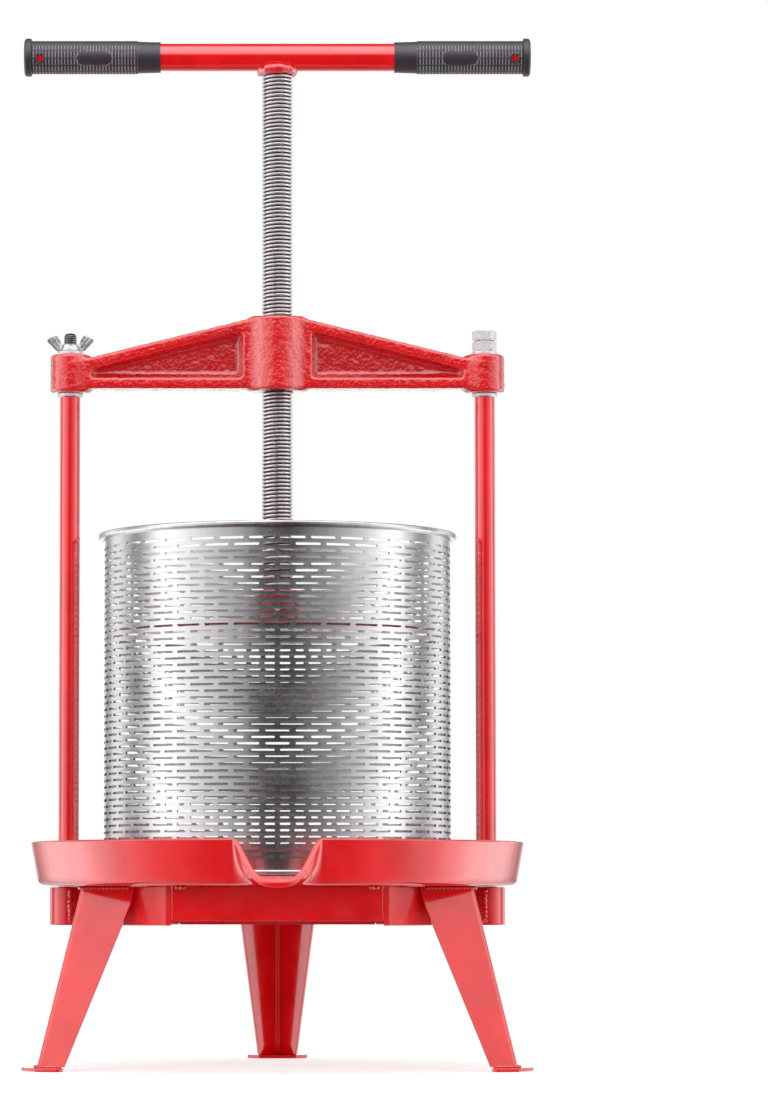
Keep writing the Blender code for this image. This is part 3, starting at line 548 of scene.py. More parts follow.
def collar(
    inner: float, outer: float, low: float, high: float, cuts: Sequence[float] | float, parts: int, steps: int
) -> Skin:
    """A ring about Z between two radii and two heights, with rounded edges."""
    outline = [(inner, low), (outer, low), (outer, high), (inner, high)]
    return turned(softened(outline, cuts, parts, True), steps, True)


def lofted(sections: Array) -> Skin:
    """A solid through closed sections of equal point counts, closed by a face at each end."""
    skin = net(sections)
    ends = np.arange(sections.shape[1])
    skin.faces += [ends[::-1][None], (ends + len(skin.points) - len(ends))[None]]
    return skin


def threaded(
    radius: float, depth: float, pitch: float, low: float, high: float, steps: int, rows: int,
    foot: Sequence = (), head: Sequence = (),
) -> Skin:
    """A rod with a right-hand thread.

    The phase is height over pitch less angle over a full turn, so it stays the same along the helix.
    The crest's height rises and falls once a pitch as a flattened wedge, and fades out at both ends.

    Args:
        radius: of the crests.
        depth: from crest to root.
        pitch: of the thread.
        low: where the thread starts.
        high: where it ends.
        steps: around.
        rows: in a pitch.
        foot: plain (radius, height) points below it.
        head: plain points above it.

    Returns:
        The rod, with its relief.
    """
    angle = circle(steps)
    height = np.linspace(low, high, int(round((high - low) / pitch * rows)) + 1)
    phase = (height[:, None] / pitch - angle / TURN) % 1
    wedge = unit(2.3 * (1 - np.abs(2 * phase - 1)) - 0.35)
    crest = eased(wedge) * unit(np.minimum(height - low, high - height) / pitch)[:, None]
    foot, head = (np.array(part, float).reshape(-1, 2) for part in (foot, head))
    plain = [(np.repeat(part[:, :1], steps, 1), np.ones((len(part), steps))) for part in (foot, head)]
    radii = np.concatenate([plain[0][0], radius - depth + depth * crest, plain[1][0]])
    heights = np.concatenate([foot[:, 1], height, head[:, 1]])
    relief = np.concatenate([plain[0][1], crest, plain[1][1]])
    return net(wrapped(radii, angle, heights[:, None]), relief=relief.ravel())


def bead(path: Array, radius: float, ripple: float, pitch: float, steps: int = 12, flat: float = 0.75) -> Skin:
    """A weld bead along a path.

    Its radius swells and shrinks with the sine of the distance along the path, and closes as a half
    circle at both ends. Each ring lies across the path, wider than it is tall.

    Args:
        path: points along the bead's middle.
        radius: of the bead.
        ripple: share by which the radius varies.
        pitch: distance between ripples.
        steps: around the bead.
        flat: its height as a share of its width.

    Returns:
        The closed surface.
    """
    ahead = unit_vectors(np.gradient(path, axis=0))
    across = unit_vectors(np.cross(ahead, [0.3, 0.2, 1.0]))
    up = np.cross(across, ahead)
    along = np.concatenate([[0], np.cumsum(np.linalg.norm(np.diff(path, axis=0), axis=1))])
    ends = unit(np.minimum(along, along[-1] - along) / radius)
    swell = radius * np.sqrt(1 - (1 - ends) ** 2) * (1 + ripple * np.sin(TURN * along / pitch))
    angle = circle(steps)[:, None]
    rings = across[:, None] * np.cos(angle) + up[:, None] * (flat * np.sin(angle))
    return net(path[:, None] + rings * np.maximum(swell, 0)[:, None, None])


def lattice_noise(points: Array, size: float, seed: int) -> Array:
    """Smooth noise from -1 to 1.

    Each corner of a lattice has a fixed random value, worked out from its whole-number place by
    multiplying, mixing and keeping the last bits. Inside a cell the eight values blend by smooth steps.

    Args:
        points: places in millimetres.
        size: the lattice's step in millimetres.
        seed: chooses the pattern.

    Returns:
        One value for each point.
    """
    scaled = points / size
    base = np.floor(scaled).astype(np.int64)
    share = eased(scaled - base)
    total = np.zeros(len(points))
    for corner in np.ndindex(2, 2, 2):
        at = base + corner
        mixed = (at[:, 0] * 73856093) ^ (at[:, 1] * 19349663) ^ (at[:, 2] * 83492791) ^ (seed * 2654435761)
        mixed = (mixed ^ (mixed >> 13)) * 1274126177 & 0xFFFFFF
        weight = np.prod(np.where(np.array(corner) == 1, share, 1 - share), axis=1)
        total += weight * (mixed / 0x7FFFFF - 1)
    return total


def smooth_union(first: Array, second: Array, fillet: float) -> Array:
    """Distance to two bodies joined with a fillet: the lesser, less a parabola where they are alike."""
    near = np.maximum(fillet - np.abs(first - second), 0) / fillet
    return np.minimum(first, second) - near * near * fillet / 4


def smooth_overlap(first: Array, second: Array, fillet: float) -> Array:
    """Distance to what two bodies share, with the edge between them rounded."""
    return -smooth_union(-first, -second, fillet)


def box_distance(gaps: Sequence[Array], rounding: float) -> Array:
    """Distance to a body between flat sides, from the distance past each side, with round edges."""
    shifted = np.stack([gap + rounding for gap in gaps])
    return np.minimum(shifted.max(0), 0) + np.linalg.norm(np.maximum(shifted, 0), axis=0) - rounding


def edge_gaps(outline: Sequence[tuple[float, float]], x: Array, z: Array) -> list[Array]:
    """Distance past each side of a convex outline whose corners run anticlockwise."""
    corners = np.array(outline)
    ahead = unit_vectors(np.roll(corners, -1, 0) - corners)
    return [(x - start[0]) * way[1] - (z - start[1]) * way[0] for start, way in zip(corners, ahead)]


def rod_distance(x: Array, y: Array, z: Array, radius: float, low: float, high: float, rounding: float) -> Array:
    """Distance to an upright rod with round rims."""
    side = np.hypot(x, y) - radius
    return box_distance([side, np.maximum(low - z, z - high)], rounding)


def field_skin(distance: Distance, low: Sequence[float], high: Sequence[float], cell: float) -> Skin:
    """The surface where a distance field is zero.

    A grid of cells covers the field. Each cell that the surface crosses gets one corner, at the mean of
    the crossings on its twelve edges, and each grid edge that is crossed gets one face between the four
    cells around it. The corners then move onto the surface along the field's slope.

    Args:
        distance: the field, below zero inside.
        low: lowest corner of the space.
        high: highest corner.
        cell: the cells' width.

    Returns:
        The closed surface.
    """
    axes = [np.arange(start - 2 * cell, end + 2.5 * cell, cell) for start, end in zip(low, high)]
    values = distance(*np.meshgrid(*axes, indexing="ij"))
    inside = values < 0
    cells = tuple(size - 1 for size in values.shape)
    total, count = np.zeros((*cells, 3)), np.zeros(cells)
    faces = []
    for axis in range(3):
        ahead = np.roll(np.arange(3), -axis)
        field_now, marks = np.transpose(values, ahead), np.transpose(inside, ahead)
        crossed = marks[:-1] != marks[1:]
        gap = field_now[:-1] - field_now[1:]
        share = np.where(crossed, field_now[:-1] / np.where(gap == 0, 1, gap), 0)
        spots = np.indices(crossed.shape).astype(float)
        spots[0] += share
        back = np.argsort(ahead)
        for step_1, step_2 in np.ndindex(2, 2):
            window = (slice(None), slice(step_1, step_1 + crossed.shape[1] - 1),
                      slice(step_2, step_2 + crossed.shape[2] - 1))
            mark = crossed[window]
            places = np.stack([spots[part][window] * mark for part in range(3)], -1)[..., back]
            total += np.transpose(places, (*back, 3))
            count += np.transpose(mark, back)
        i, j, k = np.nonzero(crossed[:, 1:-1, 1:-1])
        j, k = j + 1, k + 1
        quad = np.stack([np.stack([i, j - a, k - b]) for a, b in ((1, 1), (0, 1), (0, 0), (1, 0))])[:, back]
        flat = np.ravel_multi_index((quad[:, 0], quad[:, 1], quad[:, 2]), cells).T
        rising = marks[i, j, k]
        faces.append(np.where(rising[:, None], flat, flat[:, ::-1]))
    used = count.ravel() > 0
    number = np.cumsum(used) - 1
    start = np.array([axis[0] for axis in axes])
    points = total.reshape(-1, 3)[used] / count.ravel()[used, None] * cell + start
    for _ in range(3):
        points = points - slope_step(distance, points, cell)
    return Skin(points, [number[np.concatenate(faces)]])


def slope_step(distance: Distance, points: Array, cell: float) -> Array:
    """How far each point moves to reach the surface: the distance along the slope, over its square."""
    here = distance(*points.T)
    small = cell * 0.05
    slope = np.stack([(distance(*(points + small * unit).T) - here) / small for unit in np.eye(3)], -1)
    step = (here / np.maximum((slope**2).sum(1), 0.2))[:, None] * slope
    return np.clip(step, -cell / 2, cell / 2)


def surface_normals(points: Array) -> Array:
    """Unit normals of a grid of points, from the cross product of its two directions."""
    return unit_vectors(np.cross(np.roll(points, -1, 1) - np.roll(points, 1, 1), np.gradient(points, axis=0)))


# ---- pieces


def mended(mesh: bpy.types.Mesh, merge: float, flatten: bool = False) -> bpy.types.Mesh:
    """A mesh with corners closer than some millimetres merged, flat faces joined if asked, and normals outward."""
    bm = bmesh.new()
    bm.from_mesh(mesh)
    bmesh.ops.remove_doubles(bm, verts=bm.verts, dist=merge * MM)
    if flatten:
        bmesh.ops.dissolve_limit(bm, angle_limit=math.radians(1), verts=bm.verts, edges=bm.edges)
    bmesh.ops.recalc_face_normals(bm, faces=bm.faces)
    bm.to_mesh(mesh)
    bm.free()
    return mesh


def finish_piece(
    mesh: bpy.types.Mesh, body: Body, coat: Coat, replaces: Sequence[str], sharp: float, bevel: float
) -> bpy.types.Object:
    """Shades a mesh, rounds its edges and seats it on its body.

    Args:
        mesh: the mesh, whose name becomes the piece's.
        body: what it rides on.
        coat: its finish.
        replaces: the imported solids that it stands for.
        sharp: edges that bend by more degrees than this stay sharp.
        bevel: width of the rounding on sharp edges.

    Returns:
        The piece.
    """
    mesh.shade_smooth()
    mesh.set_sharp_from_angle(angle=math.radians(sharp))
    mesh.materials.clear()
    mesh.materials.append(coat.material)
    piece = bpy.data.objects.new(mesh.name, mesh)
    bpy.context.scene.collection.objects.link(piece)
    if bevel:
        rounding = piece.modifiers.new("rounded_edges", "BEVEL")
        rounding.width = bevel * MM
        rounding.segments = 3
        rounding.limit_method = "ANGLE"
        rounding.angle_limit = math.radians(sharp)
        rounding.harden_normals = True
    piece.modifiers.new("flat_faces_stay_flat", "WEIGHTED_NORMAL").keep_sharp = True
    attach(piece, body.value)
    if replaces:
        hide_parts(*replaces)
    LOG.info("%s: %d corners on %s", mesh.name, len(mesh.vertices), body.value)
    return piece


def add_piece(
    name: str, skin: Skin, body: Body, coat: Coat, replaces: Sequence[str] = (), sharp: float = 38, bevel: float = 0.0
) -> bpy.types.Object:
    """A visible piece made of a surface. The other arguments are those of finish_piece."""
    mesh = bpy.data.meshes.new(name)
    mesh.from_pydata((skin.points * MM).tolist(), [], [face for block in skin.faces for face in block.tolist()])
    if skin.relief is not None:
        mesh.attributes.new("relief", "FLOAT", "POINT").data.foreach_set("value", skin.relief.astype(np.float32))
    return finish_piece(mended(mesh, 0.002), body, coat, replaces, sharp, bevel)


def rounded_copy(name: str, node: str, body: Body, coat: Coat, bevel: float) -> bpy.types.Object:
    """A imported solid's shape with its corners merged, its flat faces whole and its edges rounded."""
    mesh = mended(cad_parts[node].data.copy(), 0.005, True)
    mesh.name = name
    return finish_piece(mesh, body, coat, [node], 30, bevel)


def span(node: str) -> tuple[Array, Array]:
    """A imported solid's lowest and highest corner in millimetres."""
    low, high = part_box(node)
    return np.array(low) / MM, np.array(high) / MM


@dataclass
class Assembly:
    """A sub-assembly that is dressed from one palette."""

    palette: Palette


@dataclass
class JuiceTray(Assembly):
    """The pressed dish: a raised floor for the drum, a flared wall and a pouring lip with a hemmed edge."""

    base: float = 139.5
    depth: float = 34.4
    rim_radius: float = 193.3
    flare: float = 5.0
    corner: float = 8.0
    plate: float = 2.5
    plateau: float = 142.5
    rise: float = 4.7
    slope_run: float = 4.0
    lip_half: float = 34.0
    lip_reach: float = 23.68
    lip_drop: float = 1.5
    fullness: float = 3.0
    lip_flare: float = 1.7
    hem: float = 2.3

    def profile(self) -> tuple[Array, Array]:
        """The underside from the middle to the rim.

        Returns:
            Its (radius, height) points, and how far each lies along the part that the lip draws out.
        """
        lean = math.atan(self.flare / (self.depth - self.corner))
        bend = self.rim_radius - self.flare - self.corner
        turn = np.linspace(0, math.pi / 2 - lean, 11)
        arc = np.stack([bend + self.corner * np.sin(turn), self.base + self.corner * (1 - np.cos(turn))], -1)
        rim = np.array([self.rim_radius, self.base + self.depth])
        wall = arc[-1] + (rim - arc[-1]) * np.linspace(0, 1, 17)[1:, None]
        top = self.base + self.rise
        foot = [(self.plateau + self.slope_run, self.base), (bend, self.base)]
        middle = [(0, top), (70, top), (self.plateau, top), *foot]
        floor = softened(middle, [0, 0, 2.0, 2.0, 0], 4)
        drawn = np.concatenate([arc[1:], wall])
        along = np.cumsum(np.linalg.norm(np.diff(np.concatenate([arc[:1], drawn]), axis=0), axis=1))
        return np.concatenate([floor, drawn]), np.concatenate([np.zeros(len(floor)), along / along[-1]])

    def angles(self) -> Array:
        """Directions around the tray, closer together at the lip."""
        half = math.asin(self.lip_half / self.rim_radius)
        front = -math.pi / 2
        lip = np.linspace(front - half, front + half, 81)
        rest = np.linspace(front + half, front - half + TURN, 211)
        return np.concatenate([lip, rest[1:-1]])

    def outside(self) -> tuple[Array, Array]:
        """The underside's grid of points, and the plate's thickness at each.

        A point goes round the axis, and where the lip opens it moves towards a straight ramp. The share
        of that move is one less the distance from the lip's middle, over half the lip's width and to
        the fullness, all to the flare. The hem thickens the edge wherever the lip opens at all.
        """
        (radius, height), along = self.profile()[0].T, self.profile()[1]
        angle = self.angles()
        across = np.abs(self.rim_radius * np.cos(angle) / self.lip_half)
        opened = np.where((np.sin(angle) < 0) & (across < 1), 1 - across**self.fullness, 0)
        share = opened**self.lip_flare
        drawn = (along > 0)[:, None] * share
        start = self.rim_radius - self.flare - self.corner
        reach = start + (self.rim_radius + self.lip_reach - start) * along
        radii = radius[:, None] + (reach - radius)[:, None] * drawn
        heights = height[:, None] + (self.base - self.lip_drop * along - height)[:, None] * drawn
        hem = eased(unit((along - 0.84) / 0.08))[:, None]
        return wrapped(radii, angle, heights), self.plate + self.hem * opened**0.35 * hem

    def build(self) -> None:
        """Makes the tray: its underside, its upper side a plate's thickness away, and a round edge."""
        outer, thickness = self.outside()
        normal = surface_normals(outer)
        normal[0] = (0, 0, -1)
        inner = outer - normal * thickness[..., None]
        ahead = unit_vectors(outer[-1] - outer[-2])
        turn = np.linspace(0, math.pi, 9)[1:-1, None, None]
        middle, half = (outer[-1] + inner[-1]) / 2, (outer[-1] - inner[-1]) / 2
        soft = np.minimum(thickness[-1], 2.0)[:, None] / 2
        edge = middle + half * np.cos(turn) + ahead * soft * (np.sin(turn) - 1)
        outer[-1] -= ahead * soft
        inner[-1] -= ahead * soft
        skin = net(np.concatenate([outer, edge, inner[::-1]]))
        add_piece("tray_pressed_dish", skin, Body.STAND, self.palette.enamel, ["tray"], 50)


@dataclass
class Drum(Assembly):
    """The open drum of slotted sheet, with a rolled rim and a hoop at its foot."""

    slots: int = 36
    row_pitch: float = 5.0
    foot_band: float = 11.4
    top_band: float = 9.9
    slot_length: float = 19.8
    slot_height: float = 1.9
    wall: float = 1.5
    bead_steps: int = 160
    bead_cut: float = 1.5

    def sheet(self) -> Skin:
        """The slotted sheet.

        The cell of one slot is a rectangle of two half columns with a round-ended slot in it: six
        corners outside and twelve inside. The cell is repeated round the drum and row by row, with
        every other row moved on by half a cell, and the whole is wrapped round the axis twice, once
        for each side of the wall.
        """
        low, high = span("basket")
        radius = high[0]
        start, slotted = low[2] + self.foot_band, high[2] - low[2] - self.foot_band - self.top_band
        rows = int(round(slotted / self.row_pitch))
        pitch, columns = slotted / rows, 2 * self.slots
        line_heights = np.concatenate([[low[2]], start + pitch * np.arange(rows + 1), [high[2]]])
        lines = np.stack(np.broadcast_arrays(circle(columns), line_heights[:, None]), -1).reshape(-1, 2)
        half = self.slot_height / 2
        run = self.slot_length / 2 - half
        end = np.radians(np.linspace(-90, 90, 5))
        right = np.stack([run + half * np.cos(end), half * np.sin(end)], -1)
        ring = np.concatenate([[[0, -half]], right, [[0, half]], -right])
        row, slot = np.meshgrid(np.arange(rows), np.arange(self.slots), indexing="ij")
        middle_angle = TURN * (slot + 0.5 + 0.5 * (row % 2)) / self.slots
        middle_height = start + pitch * (row + 0.5)
        holes = np.stack([middle_angle[..., None] + ring[:, 0] / radius, middle_height[..., None] + ring[:, 1]], -1)
        left, line = (2 * slot + row % 2).ravel(), (row.ravel() + 1) * columns
        near, far = line + (left + 1) % columns, line + (left + 2) % columns
        corner = [near, far, far + columns, near + columns, line + columns + left, line + left]
        step = np.arange(12)
        first = len(lines) + np.arange(rows * self.slots)[:, None] * 12 + step
        at = {f"c{k}": value for k, value in enumerate(corner)} | {f"s{k}": first[:, k] for k in step}
        quads = "c0 c1 s1 s0, c2 c3 s6 s5, c3 c4 s7 s6, c5 c0 s0 s11"
        wedges = "c1 s2 s1, c1 s3 s2, c1 c2 s3, c2 s4 s3, c2 s5 s4, c4 s8 s7, c4 s9 s8, c4 c5 s9, c5 s10 s9, c5 s11 s10"
        four, three = (
            np.concatenate([np.stack([at[word] for word in face.split()], -1) for face in faces.split(",")])
            for faces in (quads, wedges)
        )
        bands = grid_faces(len(line_heights), columns).reshape(-1, columns, 4)
        four = np.concatenate([bands[0], four, bands[-1]])
        flat = np.concatenate([lines, holes.reshape(-1, 2)])
        walls = [wrapped(size, flat[:, 0], flat[:, 1]) for size in (radius, radius - self.wall)]
        count, foot = len(flat), np.arange(columns)
        edges = np.stack([first, np.roll(first, -1, 1)], -1).reshape(-1, 2)
        around = np.stack([foot, np.roll(foot, -1)], -1)
        edges = np.concatenate([edges, around[:, ::-1], around + (len(line_heights) - 1) * columns])
        rims = np.concatenate([edges, edges[:, ::-1] + count], 1)
        return Skin(np.concatenate(walls), [four, three, four[:, ::-1] + count, three[:, ::-1] + count, rims])

    def build(self) -> None:
        """Makes the sheet and its two beads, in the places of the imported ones."""
        add_piece("drum_slotted_sheet", self.sheet(), Body.DRUM, self.palette.stainless, ["basket"])
        inner = span("basket")[1][0] + 0.1
        for name, node in (("drum_rolled_rim", "basket_rim"), ("drum_foot_hoop", "basket_hoop")):
            low, high = span(node)
            skin = collar(inner, high[0], low[2], high[2], [0.3, self.bead_cut, self.bead_cut, 0.3], 5, self.bead_steps)
            add_piece(name, skin, Body.DRUM, self.palette.bead, [node])


@dataclass
class TieRods(Assembly):
    """The two painted posts, each with a threaded stud turned on its upper end."""

    post_radius: float = 8.0
    stud_radius: float = 5.0
    stud_pitch: float = 1.5
    stud_depth: float = 0.85
    shoulder: float = 523.7

    def build(self) -> None:
        """Makes both posts and both studs. The drum's brushed sheet doesn't mirror the posts."""
        for side in Side:
            node = f"post_{side.word}"
            low, high = span(node)
            x = (low[0] + high[0]) / 2
            skin = rod(self.post_radius, low[2], self.shoulder, 0.9, 3, 64).moved((x, 0, 0))
            add_piece(f"{node}_rod", skin, Body.STAND, self.palette.tube_enamel, [node]).visible_glossy = False
            crown = [(self.stud_radius - 1.2, high[2] - 0.6), (self.stud_radius - 2.4, high[2]), (0, high[2])]
            root = self.stud_radius - self.stud_depth
            stud = threaded(
                self.stud_radius, self.stud_depth, self.stud_pitch, self.shoulder - 0.5, high[2] - 1.0, 40, 9,
                [(0, self.shoulder - 1), (root, self.shoulder - 1)], crown,
            )
            add_piece(f"{node}_stud", stud.moved((x, 0, 0)), Body.STAND, self.palette.stud, [node])


@dataclass
class CastBeam(Assembly):
    """The cast beam: tapering arms with drafted pockets, a tall tapped hub and two end bosses."""

    cell: float = 1.0
    half_depth: float = 13.0
    half_web: float = 4.5
    shoulder_half: float = 19.0
    top_rise: float = 56.2
    end_rise: float = 24.0
    end_setback: float = 13.0
    hub_radius: float = 22.5
    boss_radius: float = 15.75
    foot: float = 529.2
    post_x: float = 163.0
    bore: float = 12.3
    stud_bore: float = 5.3
    flange: float = 8.5
    fillet: float = 5.0
    edge: float = 2.4
    arm_inset: float = 3.0
    pocket_margin: float = 4.5
    pocket_corner: float = 3.0
    pocket_fillet: float = 3.5
    pocket_rim: float = 2.0
    draft: float = 3.0
    hub_height: float = 56.7
    hub_edge: float = 2.0
    bore_edge: float = 1.0
    swell: float = 0.16

    def slope(self) -> tuple[float, float, float]:
        """The arm's top line as unit normal (x, z) and distance from the origin."""
        start = (self.shoulder_half, self.foot + self.top_rise)
        end = (self.post_x - self.end_setback, self.foot + self.end_rise)
        run, fall = end[0] - start[0], start[1] - end[1]
        size = math.hypot(run, fall)
        across, up = fall / size, run / size
        return across, up, across * start[0] + up * start[1]

    def distance(self, x: Array, y: Array, z: Array) -> Array:
        """The casting's distance field: arms less pockets, joined to hub and bosses, less the bores."""
        x, y = np.abs(x), np.abs(y)
        across, up, level = self.slope()
        over = across * x + up * z - level
        flat_top = z - (self.foot + self.top_rise)
        ends, faces = x - self.post_x + self.arm_inset, y - self.half_depth
        arm = box_distance([self.foot - z, np.maximum(over, flat_top), ends, faces], self.edge)
        near, far = self.hub_radius + self.pocket_margin, self.post_x - self.boss_radius - 1
        draft = self.draft * np.clip((self.half_depth - y) / (self.half_depth - self.half_web), 0, 1.2)
        sides = [near - x, x - far, self.foot + self.flange - z, over + self.flange * up]
        pocket = box_distance([side + draft for side in sides], self.pocket_corner)
        pocket = smooth_overlap(pocket, self.half_web - y, self.pocket_fillet)
        arm = smooth_overlap(arm, -pocket, self.pocket_rim)
        hub = rod_distance(x, y, z, self.hub_radius, self.foot - 1, self.foot + self.hub_height, self.hub_edge)
        low, high = (value[2] for value in self.boss_span())
        boss = rod_distance(x - self.post_x, y, z, self.boss_radius, low, high, self.edge)
        body = smooth_union(smooth_union(arm, hub, self.fillet), boss, self.fillet)
        body = smooth_overlap(body, self.bore - np.hypot(x, y), self.bore_edge)
        return smooth_overlap(body, self.stud_bore - np.hypot(x - self.post_x, y), self.bore_edge)

    def boss_span(self) -> tuple[Array, Array]:
        """Lowest and highest corner of the left boss, from the washers on each side of it."""
        return span("beam_washer_left")[1] + 0.3, span("top_washer_left")[0] - 0.3

    def build(self) -> None:
        """Makes the casting: the field's surface, with low lumps as sand leaves them."""
        low, high = span("cross_beam")
        skin = field_skin(self.distance, low, high, self.cell)
        lumps = lattice_noise(skin.points, 4.1, 3) + 0.8 * lattice_noise(skin.points, 2.3, 8)
        slope = slope_step(lambda x, y, z: self.distance(x, y, z) - 1, skin.points, 2.5)
        calm = unit(np.hypot(np.abs(skin.points[:, 0]) - self.post_x, skin.points[:, 1]) - 13)
        level = self.swell * (lumps - 1.0) * (0.15 + 0.85 * calm)
        skin.points = skin.points - unit_vectors(slope) * level[:, None]
        add_piece("beam_casting", skin, Body.STAND, self.palette.cast, ["cross_beam"], 80)


@dataclass
class StudHardware(Assembly):
    """Washers, nuts and the wing nut on the studs."""

    stud_radius: float = 5.0
    wing_cell: float = 0.4
    wing_outline: tuple[tuple[float, float], ...] = (
        (6.0, 0.4), (11.0, 0.4), (18.5, 8.4), (18.3, 9.9), (11.6, 13.2), (10.4, 13.1), (7.6, 8.0),
    )
    wing_half: float = 1.6
    wing_edge: float = 0.6
    wing_fillet: float = 1.2
    cone_wall: float = 3.0
    cone_slope: float = 0.236
    cone_height: float = 5.5
    cone_edge: float = 0.8
    bore_edge: float = 0.4
    bore_play: float = 0.2
    wing_lean: float = math.radians(36)
    flute_pitch: float = 2.9
    flute_depth: float = 0.18

    def washer(self, node: str, body: Body) -> None:
        """Makes one washer with softly rounded edges."""
        low, high = span(node)
        x, outer = (low[0] + high[0]) / 2, (high[0] - low[0]) / 2
        skin = collar(self.stud_radius + 0.35, outer, low[2], high[2], 0.45, 3, 72)
        add_piece(f"{node}_ring", skin.moved((x, 0, 0)), body, self.palette.zinc, [node])

    def hexagon(self, node: str) -> None:
        """Makes one hexagon nut.

        Around the axis the outer radius is half the width across flats over the cosine of the angle
        from the nearest flat. A cone cuts both faces, so each side's upper edge is an arch: the face
        drops with the radius beyond the flats, at thirty degrees.
        """
        low, high = span(node)
        flats, angle = (high[1] - low[1]) / 2, circle(144)
        outer = flats / np.cos(angle % (math.pi / 3) - math.pi / 6)
        none, inner, face, cut = 0 * angle, self.stud_radius + 0.1, flats * 0.95, 0.9
        radii = np.stack([none + inner, none + inner + cut, none + face, outer])
        pocket_shade = np.stack([none + cut, none, none, (outer - face) * math.tan(math.radians(30))])
        heights = np.concatenate([low[2] + pocket_shade, high[2] - pocket_shade[::-1]])
        skin = net(wrapped(np.concatenate([radii, radii[::-1]]), angle, heights), True)
        skin = skin.moved(((low[0] + high[0]) / 2, 0, 0))
        add_piece(f"{node}_hexagon", skin, Body.STAND, self.palette.zinc, [node], 20, 0.25)

    def wing_distance(self, x: Array, y: Array, z: Array) -> Array:
        """The wing nut's distance field: a low cone with two fluted wings that lean out, less the bore."""
        x = np.abs(x)
        side = np.hypot(x, y) - (self.stud_radius + self.cone_wall - self.cone_slope * z)
        cone = box_distance([side, -z, z - self.cone_height], self.cone_edge)
        across = x * math.cos(self.wing_lean) - z * math.sin(self.wing_lean)
        flute = 0.5 + 0.5 * np.cos(TURN * across / self.flute_pitch)
        wing = box_distance(edge_gaps(self.wing_outline, x, z), 1.0)
        wing = smooth_overlap(wing, np.abs(y) - self.wing_half + self.flute_depth * flute, self.wing_edge)
        body = smooth_union(cone, wing, self.wing_fillet)
        body = smooth_overlap(body, -z, self.bore_edge)
        return smooth_overlap(body, self.stud_radius + self.bore_play - np.hypot(x, y), self.bore_edge)

    def wing_nut(self) -> None:
        """Makes the wing nut on the left stud."""
        low, high = span("wing_nut")
        half = (high[0] - low[0]) / 2
        skin = field_skin(self.wing_distance, (-half, -9.5, 0), (half, 9.5, high[2] - low[2]), self.wing_cell)
        place = ((low[0] + high[0]) / 2, 0, low[2])
        add_piece("wing_nut_casting", skin.moved(place), Body.WING_NUT, self.palette.cast_zinc, ["wing_nut"], 60)

    def build(self) -> None:
        """Makes all the hardware."""
        for node in ("beam_washer_left", "beam_washer_right", "top_washer_right"):
            self.washer(node, Body.STAND)
        self.washer("top_washer_left", Body.LOOSE_WASHER)
        for node in ("hex_nut", "lock_nut"):
            self.hexagon(node)
        self.wing_nut()


@dataclass
class Presser(Assembly):
    """The pressing plate, its thrust cup and the screws that keep the spindle's foot in it."""

    bore: float = 12.35
    cup_floor: float = 5.5

    def build(self) -> None:
        """Makes the plate and the cup, and dresses the two retaining screws."""
        coat, (low, high) = self.palette.plate, span("press_plate")
        add_piece("press_plate_disc", rod(high[0], low[2], high[2], 1.2, 4, 160), Body.PLATE, coat, ["press_plate"])
        low, high = span("plate_hub")
        floor = low[2] + self.cup_floor
        cup = [(0, low[2]), (high[0], low[2]), (high[0], high[2]), (self.bore, high[2]), (self.bore, floor), (0, floor)]
        skin = turned(softened(cup, [0, 0.6, 1.4, 0.5, 0, 0], 4), 72)
        add_piece("plate_thrust_cup", skin, Body.PLATE, coat, ["plate_hub"])
        for node in ("retaining_screw_front", "retaining_screw_rear"):
            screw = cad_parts[node]
            screw.data.materials.clear()
            screw.data.materials.append(self.palette.zinc.material)


@dataclass
class Spindle(Assembly):
    """The long screw, with a neck near its foot for the retaining screws."""

    radius: float = 12.0
    depth: float = 1.7
    pitch: float = 3.0
    neck_depth: float = 2.5
    neck_rise: float = 10.0
    neck_height: float = 6.0
    plain_foot: float = 27.0

    def build(self) -> None:
        """Makes the screw."""
        low, high = span("spindle")
        foot, head = low[2], high[2]
        neck, edge = self.radius - self.neck_depth, self.radius
        neck_low = foot + self.neck_rise
        neck_high = neck_low + self.neck_height
        start = foot + self.plain_foot
        below = [(0, foot), (edge - 1.2, foot), (edge, foot + 1.2), (edge, neck_low), (neck, neck_low),
                 (neck, neck_high), (edge, neck_high), (edge, start - 1.5)]
        above = [(self.radius - self.depth, head - 0.2), (0, head - 0.2)]
        screw = threaded(self.radius, self.depth, self.pitch, start, head - 0.5, 48, 8, below, above)
        add_piece("spindle_screw", screw, Body.SCREW, self.palette.screw, ["spindle"], 60)


